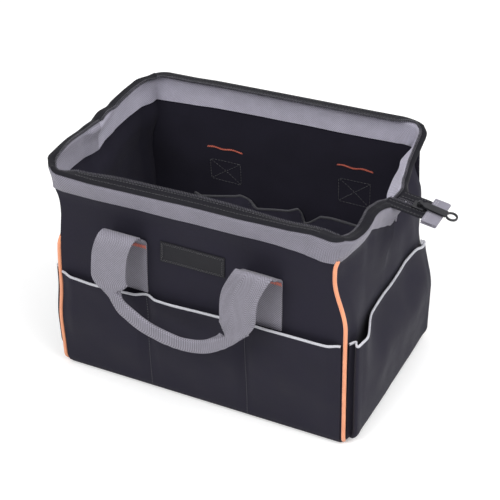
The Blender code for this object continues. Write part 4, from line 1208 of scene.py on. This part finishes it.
def inner_sewing(end):
    """Tack lines and box-and-cross stitching of the handle straps, seen inside the bag."""
    y = end * (INNER_FACE_Y - 0.00005)
    rows = []
    bars = []
    for cx, level in ((-0.0685, 0.178), (0.082, 0.188)):
        bars.append((cx, 0.02, 36, y, level, 0.0016, 0.0008, end * 0.0002))
        x0, x1, z0, z1 = cx - 0.018, cx + 0.018, level - 0.044, level - 0.016
        for outline in (box_outline(x0, x1, z0, z1), [(x0, z0), (x1, z1)], [(x0, z1), (x1, z0)]):
            rows += seams_along(outline, y, 10)
    on_wall(tack(f"{FACE[end]}_inner_tacks", bars, 0.0005))
    name = f"{FACE[end]}_inner_stitches"
    on_wall(stitches(name, rows, (0, -end, 0), BLACK_THREAD, 0.0026, 0.0012, 0.00034))


# Zipper tail

def tail_tab(place, up):
    """Webbing folded over the tail's end, and the seams that hold it."""
    start, stop = 0.0407, 0.0572
    gap, thick = 0.00075, 0.0012
    outer = gap + thick
    upper = [(start - 0.0002, gap + thick / 2), (start, outer), (stop - 0.0022, outer),
             (stop - 0.0006, gap + thick * 0.6), (stop, 0.0006)]
    outline = [(start, gap), (0.0515, gap), (0.0527, 0.0), (0.0515, -gap), (start, -gap)]
    outline += [(s, -h) for s, h in upper] + list(reversed(upper))
    loops = [[place((s, y, h)) for s, h in outline] for y in spread(-0.02, 0.02, 15)]
    tab = loft("tail_tab_webbing", loops, WEBBING, 60.0, as_is)
    seams = [[place((start + s, y, outer)) for y in spread(-0.0185, 0.0185, 12)] for s in (0.0022, 0.0044)]
    return tab, stitches("tail_tab_stitches", seams, up, GREY_THREAD, move=as_is)


def zipper_tail():
    """The tape past the right pivot: two halves side by side, turned at their end."""
    tail = Matrix.Translation((FRONT_LEG_X + 0.004, 0, PIVOT_Z + 0.008))
    tail = tail @ Matrix.Rotation(math.radians(8), 4, "Y")
    up = tail.to_3x3() @ Vector((0, 0, 1))
    straight, wide, slit = 0.036, 0.0155, 0.0008
    turns = 26
    run = 14

    def place(p):
        return tail @ Vector(p)

    def station(i):
        """Centre of the turn and outward direction along the folded tape."""
        if i < 0:
            return Vector((lerp(straight, 0.009, -i / run), 0, 0)), Vector((0, 1, 0))
        if i > turns:
            return Vector((lerp(straight, 0.0, (i - turns) / run), 0, 0)), Vector((0, -1, 0))
        a = math.radians(90 - 180 * i / turns)
        return Vector((straight, 0, 0)), Vector((math.cos(a), math.sin(a), 0))

    stations = [station(i) for i in range(-run, turns + run + 1)]
    half_t = TAPE_T / 2
    section = ((slit + 0.0012, -half_t), (wide, -half_t), (wide, half_t), (slit + 0.0012, half_t))
    loops = [[place(c + o * n + Vector((0, 0, v))) for n, v in section] for c, o in stations]
    tape = loft("zipper_tail_cloth", loops, TAPE, move=as_is)
    line = [(place(c + o * (slit + 0.0009)), tail.to_3x3() @ (-o)) for c, o in stations]
    wire = coil("zipper_tail_coil", line, as_is)
    rows = [[place(c + o * n + Vector((0, 0, 0.0005))) for c, o in stations] for n in (0.0062, 0.013)]
    sewn = stitches("zipper_tail_stitches", rows, up, BLACK_THREAD, move=as_is)
    tab, tab_sewn = tail_tab(place, up)
    for obj in (tape, wire, sewn, tab, tab_sewn):
        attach(obj, "zipper_tail")
    stands_for(tape, "zipper_tail_tape")
    stands_for(tab, "tail_end_tab")


def hard_parts():
    """The slider and the pull keep their CAD shape, and the lined board gets round corners."""
    for name in ("zipper_slider", "zipper_pull"):
        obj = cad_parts[name]
        obj.data.materials.clear()
        obj.data.materials.append(BLACK_METAL)
    steps = ((0.006, 0.0026), (0.0052, 0.0034), (0.0052, 0.005), (0.006, 0.0056))
    board = [rounded_ring(HALF_L - inset, HALF_D - inset, 0.005, z, 6) for inset, z in steps]
    verts, faces, _ = loft_mesh(board)
    uvs = [[verts[k][:2] for k in face] for face in faces]
    # The lining colour on the board carries painted light inside the bag
    obj = make("base_board_lined", verts, faces, uvs, PAINTED_LIGHT_LINING, move=as_is)
    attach(obj, "lower_bag")
    stands_for(obj, "base_board")


# Stage: floor, world, lamps and camera

FLOOR_HALF = 6.0
FLOOR_COLOR = (0.86, 0.86, 0.86)
FLOOR_GLOW = 0.24
WORLD_LIGHT = 0.3
AIM = Vector((0, 0, 0.13))
LAMPS = (
    ("key", (-0.5, -1.8, 1.9), 1.2, 38.0),
    ("fill", (1.5, -0.1, 1.6), 2.0, 37.0),
    ("top", (0.1, -0.1, 2.2), 1.6, 16.0),
)
CAMERA_SPOT = (0.7523, -1.5242, 1.3779)
CAMERA_TURN = math.radians(25.989)
CAMERA_RISE = math.radians(36.298)
CAMERA_ROLL = -0.012
FOCAL_PIXELS = 2010.6
FRAME_PIXELS = 500.0
SENSOR = 36.0


def put(name, data):
    obj = bpy.data.objects.new(name, data)
    bpy.context.scene.collection.objects.link(obj)
    return obj


def background_rays(nodes):
    """1 for rays that see the background straight, mirrored or through glass, and 0 for the light's own."""
    rays = nodes.add("LightPath").outputs
    seen = nodes.math("ADD", rays["Is Camera Ray"], rays["Is Glossy Ray"], clamp=True)
    return nodes.math("ADD", seen, rays["Is Transmission Ray"], clamp=True)


def floor_and_world():
    mesh = bpy.data.meshes.new("floor")
    corners = [(x * FLOOR_HALF, y * FLOOR_HALF, 0) for x, y in ((-1, -1), (1, -1), (1, 1), (-1, 1))]
    mesh.from_pydata(corners, [], [(0, 1, 2, 3)])
    mat = Surface("floor", FLOOR_COLOR, 0.9)
    glow = mat.add("Emission", Color=(1, 1, 1, 1),
                   Strength=mat.math("MULTIPLY", background_rays(mat), FLOOR_GLOW))
    both = mat.add("AddShader")
    mat.set(both.inputs[0], mat.shader.outputs[0])
    mat.set(both.inputs[1], glow.outputs[0])
    mat.set(mat.tree.nodes["Material Output"].inputs["Surface"], both.outputs[0])
    mesh.materials.append(mat.data)
    put("floor", mesh)

    world = bpy.data.worlds.new("studio")
    bpy.context.scene.world = world
    world.use_nodes = True
    nodes = Nodes(world.node_tree)
    back = world.node_tree.nodes["Background"].inputs
    nodes.set(back["Color"], (1, 1, 1, 1))
    level = nodes.add("MapRange", Value=background_rays(nodes), To_Min=WORLD_LIGHT, To_Max=1.0)
    nodes.set(back["Strength"], level.outputs[0])


def lamps_and_camera():
    for name, spot, size, power in LAMPS:
        lamp = bpy.data.lights.new(name, "AREA")
        lamp.size = size
        lamp.energy = power
        obj = put(name, lamp)
        obj.location = spot
        obj.rotation_euler = (AIM - Vector(spot)).to_track_quat("-Z", "Y").to_euler()

    level = math.cos(CAMERA_RISE)
    back = Vector((math.sin(CAMERA_TURN) * level, -math.cos(CAMERA_TURN) * level, math.sin(CAMERA_RISE)))
    right = Vector((math.cos(CAMERA_TURN), math.sin(CAMERA_TURN), 0))
    up = back.cross(right)
    c, s = math.cos(CAMERA_ROLL), math.sin(CAMERA_ROLL)
    right, up = right * c + up * s, up * c - right * s
    cam = bpy.data.cameras.new("camera")
    cam.sensor_width = SENSOR
    cam.lens = FOCAL_PIXELS * SENSOR / FRAME_PIXELS
    cam.clip_end = 20.0
    obj = put("camera", cam)
    axes = Matrix((right, up, back)).transposed()
    obj.matrix_world = Matrix.Translation(CAMERA_SPOT) @ axes.to_4x4()
    bpy.context.scene.camera = obj
    bpy.context.scene.view_settings.view_transform = "Standard"


# The bag

floor_and_world()
lamps_and_camera()
wall_cloth(-1)
wall_cloth(1)
for side in (-1, 1):
    end_walls(side)
    end_pocket(side)
    for end in (-1, 1):
        piping(side, end)
        leg_casing(side, end)
        strap(side, end)
base_cloth()
for end in (-1, 1):
    name = f"{FACE[end]}_pocket"
    long_casing(end)
    flat_pocket(name, end * HALF_D, end, outer_edge, FLAT_HALF, STITCH_LINES, 0.0062, CLOTH, BINDING,
                (name, f"{name}_binding"))
    handle(end)
# The inner pocket's lining colour carries painted light inside the bag
flat_pocket("inner_pocket", INNER_FACE_Y, -1, inner_edge, INNER_HALF, INNER_LINES, 0.0085, PAINTED_LIGHT_LINING,
            DARK_BINDING, ("inner_rear_pocket", "inner_rear_pocket_binding"))
for end in (-1, 1):
    long_tape(end)
    for side in (-1, 1):
        leg_tape(side, end)
frame_tube(-1)
frame_tube(1)
rivets()
patch()
inner_sewing(-1)
inner_sewing(1)
zipper_tail()
hard_parts()
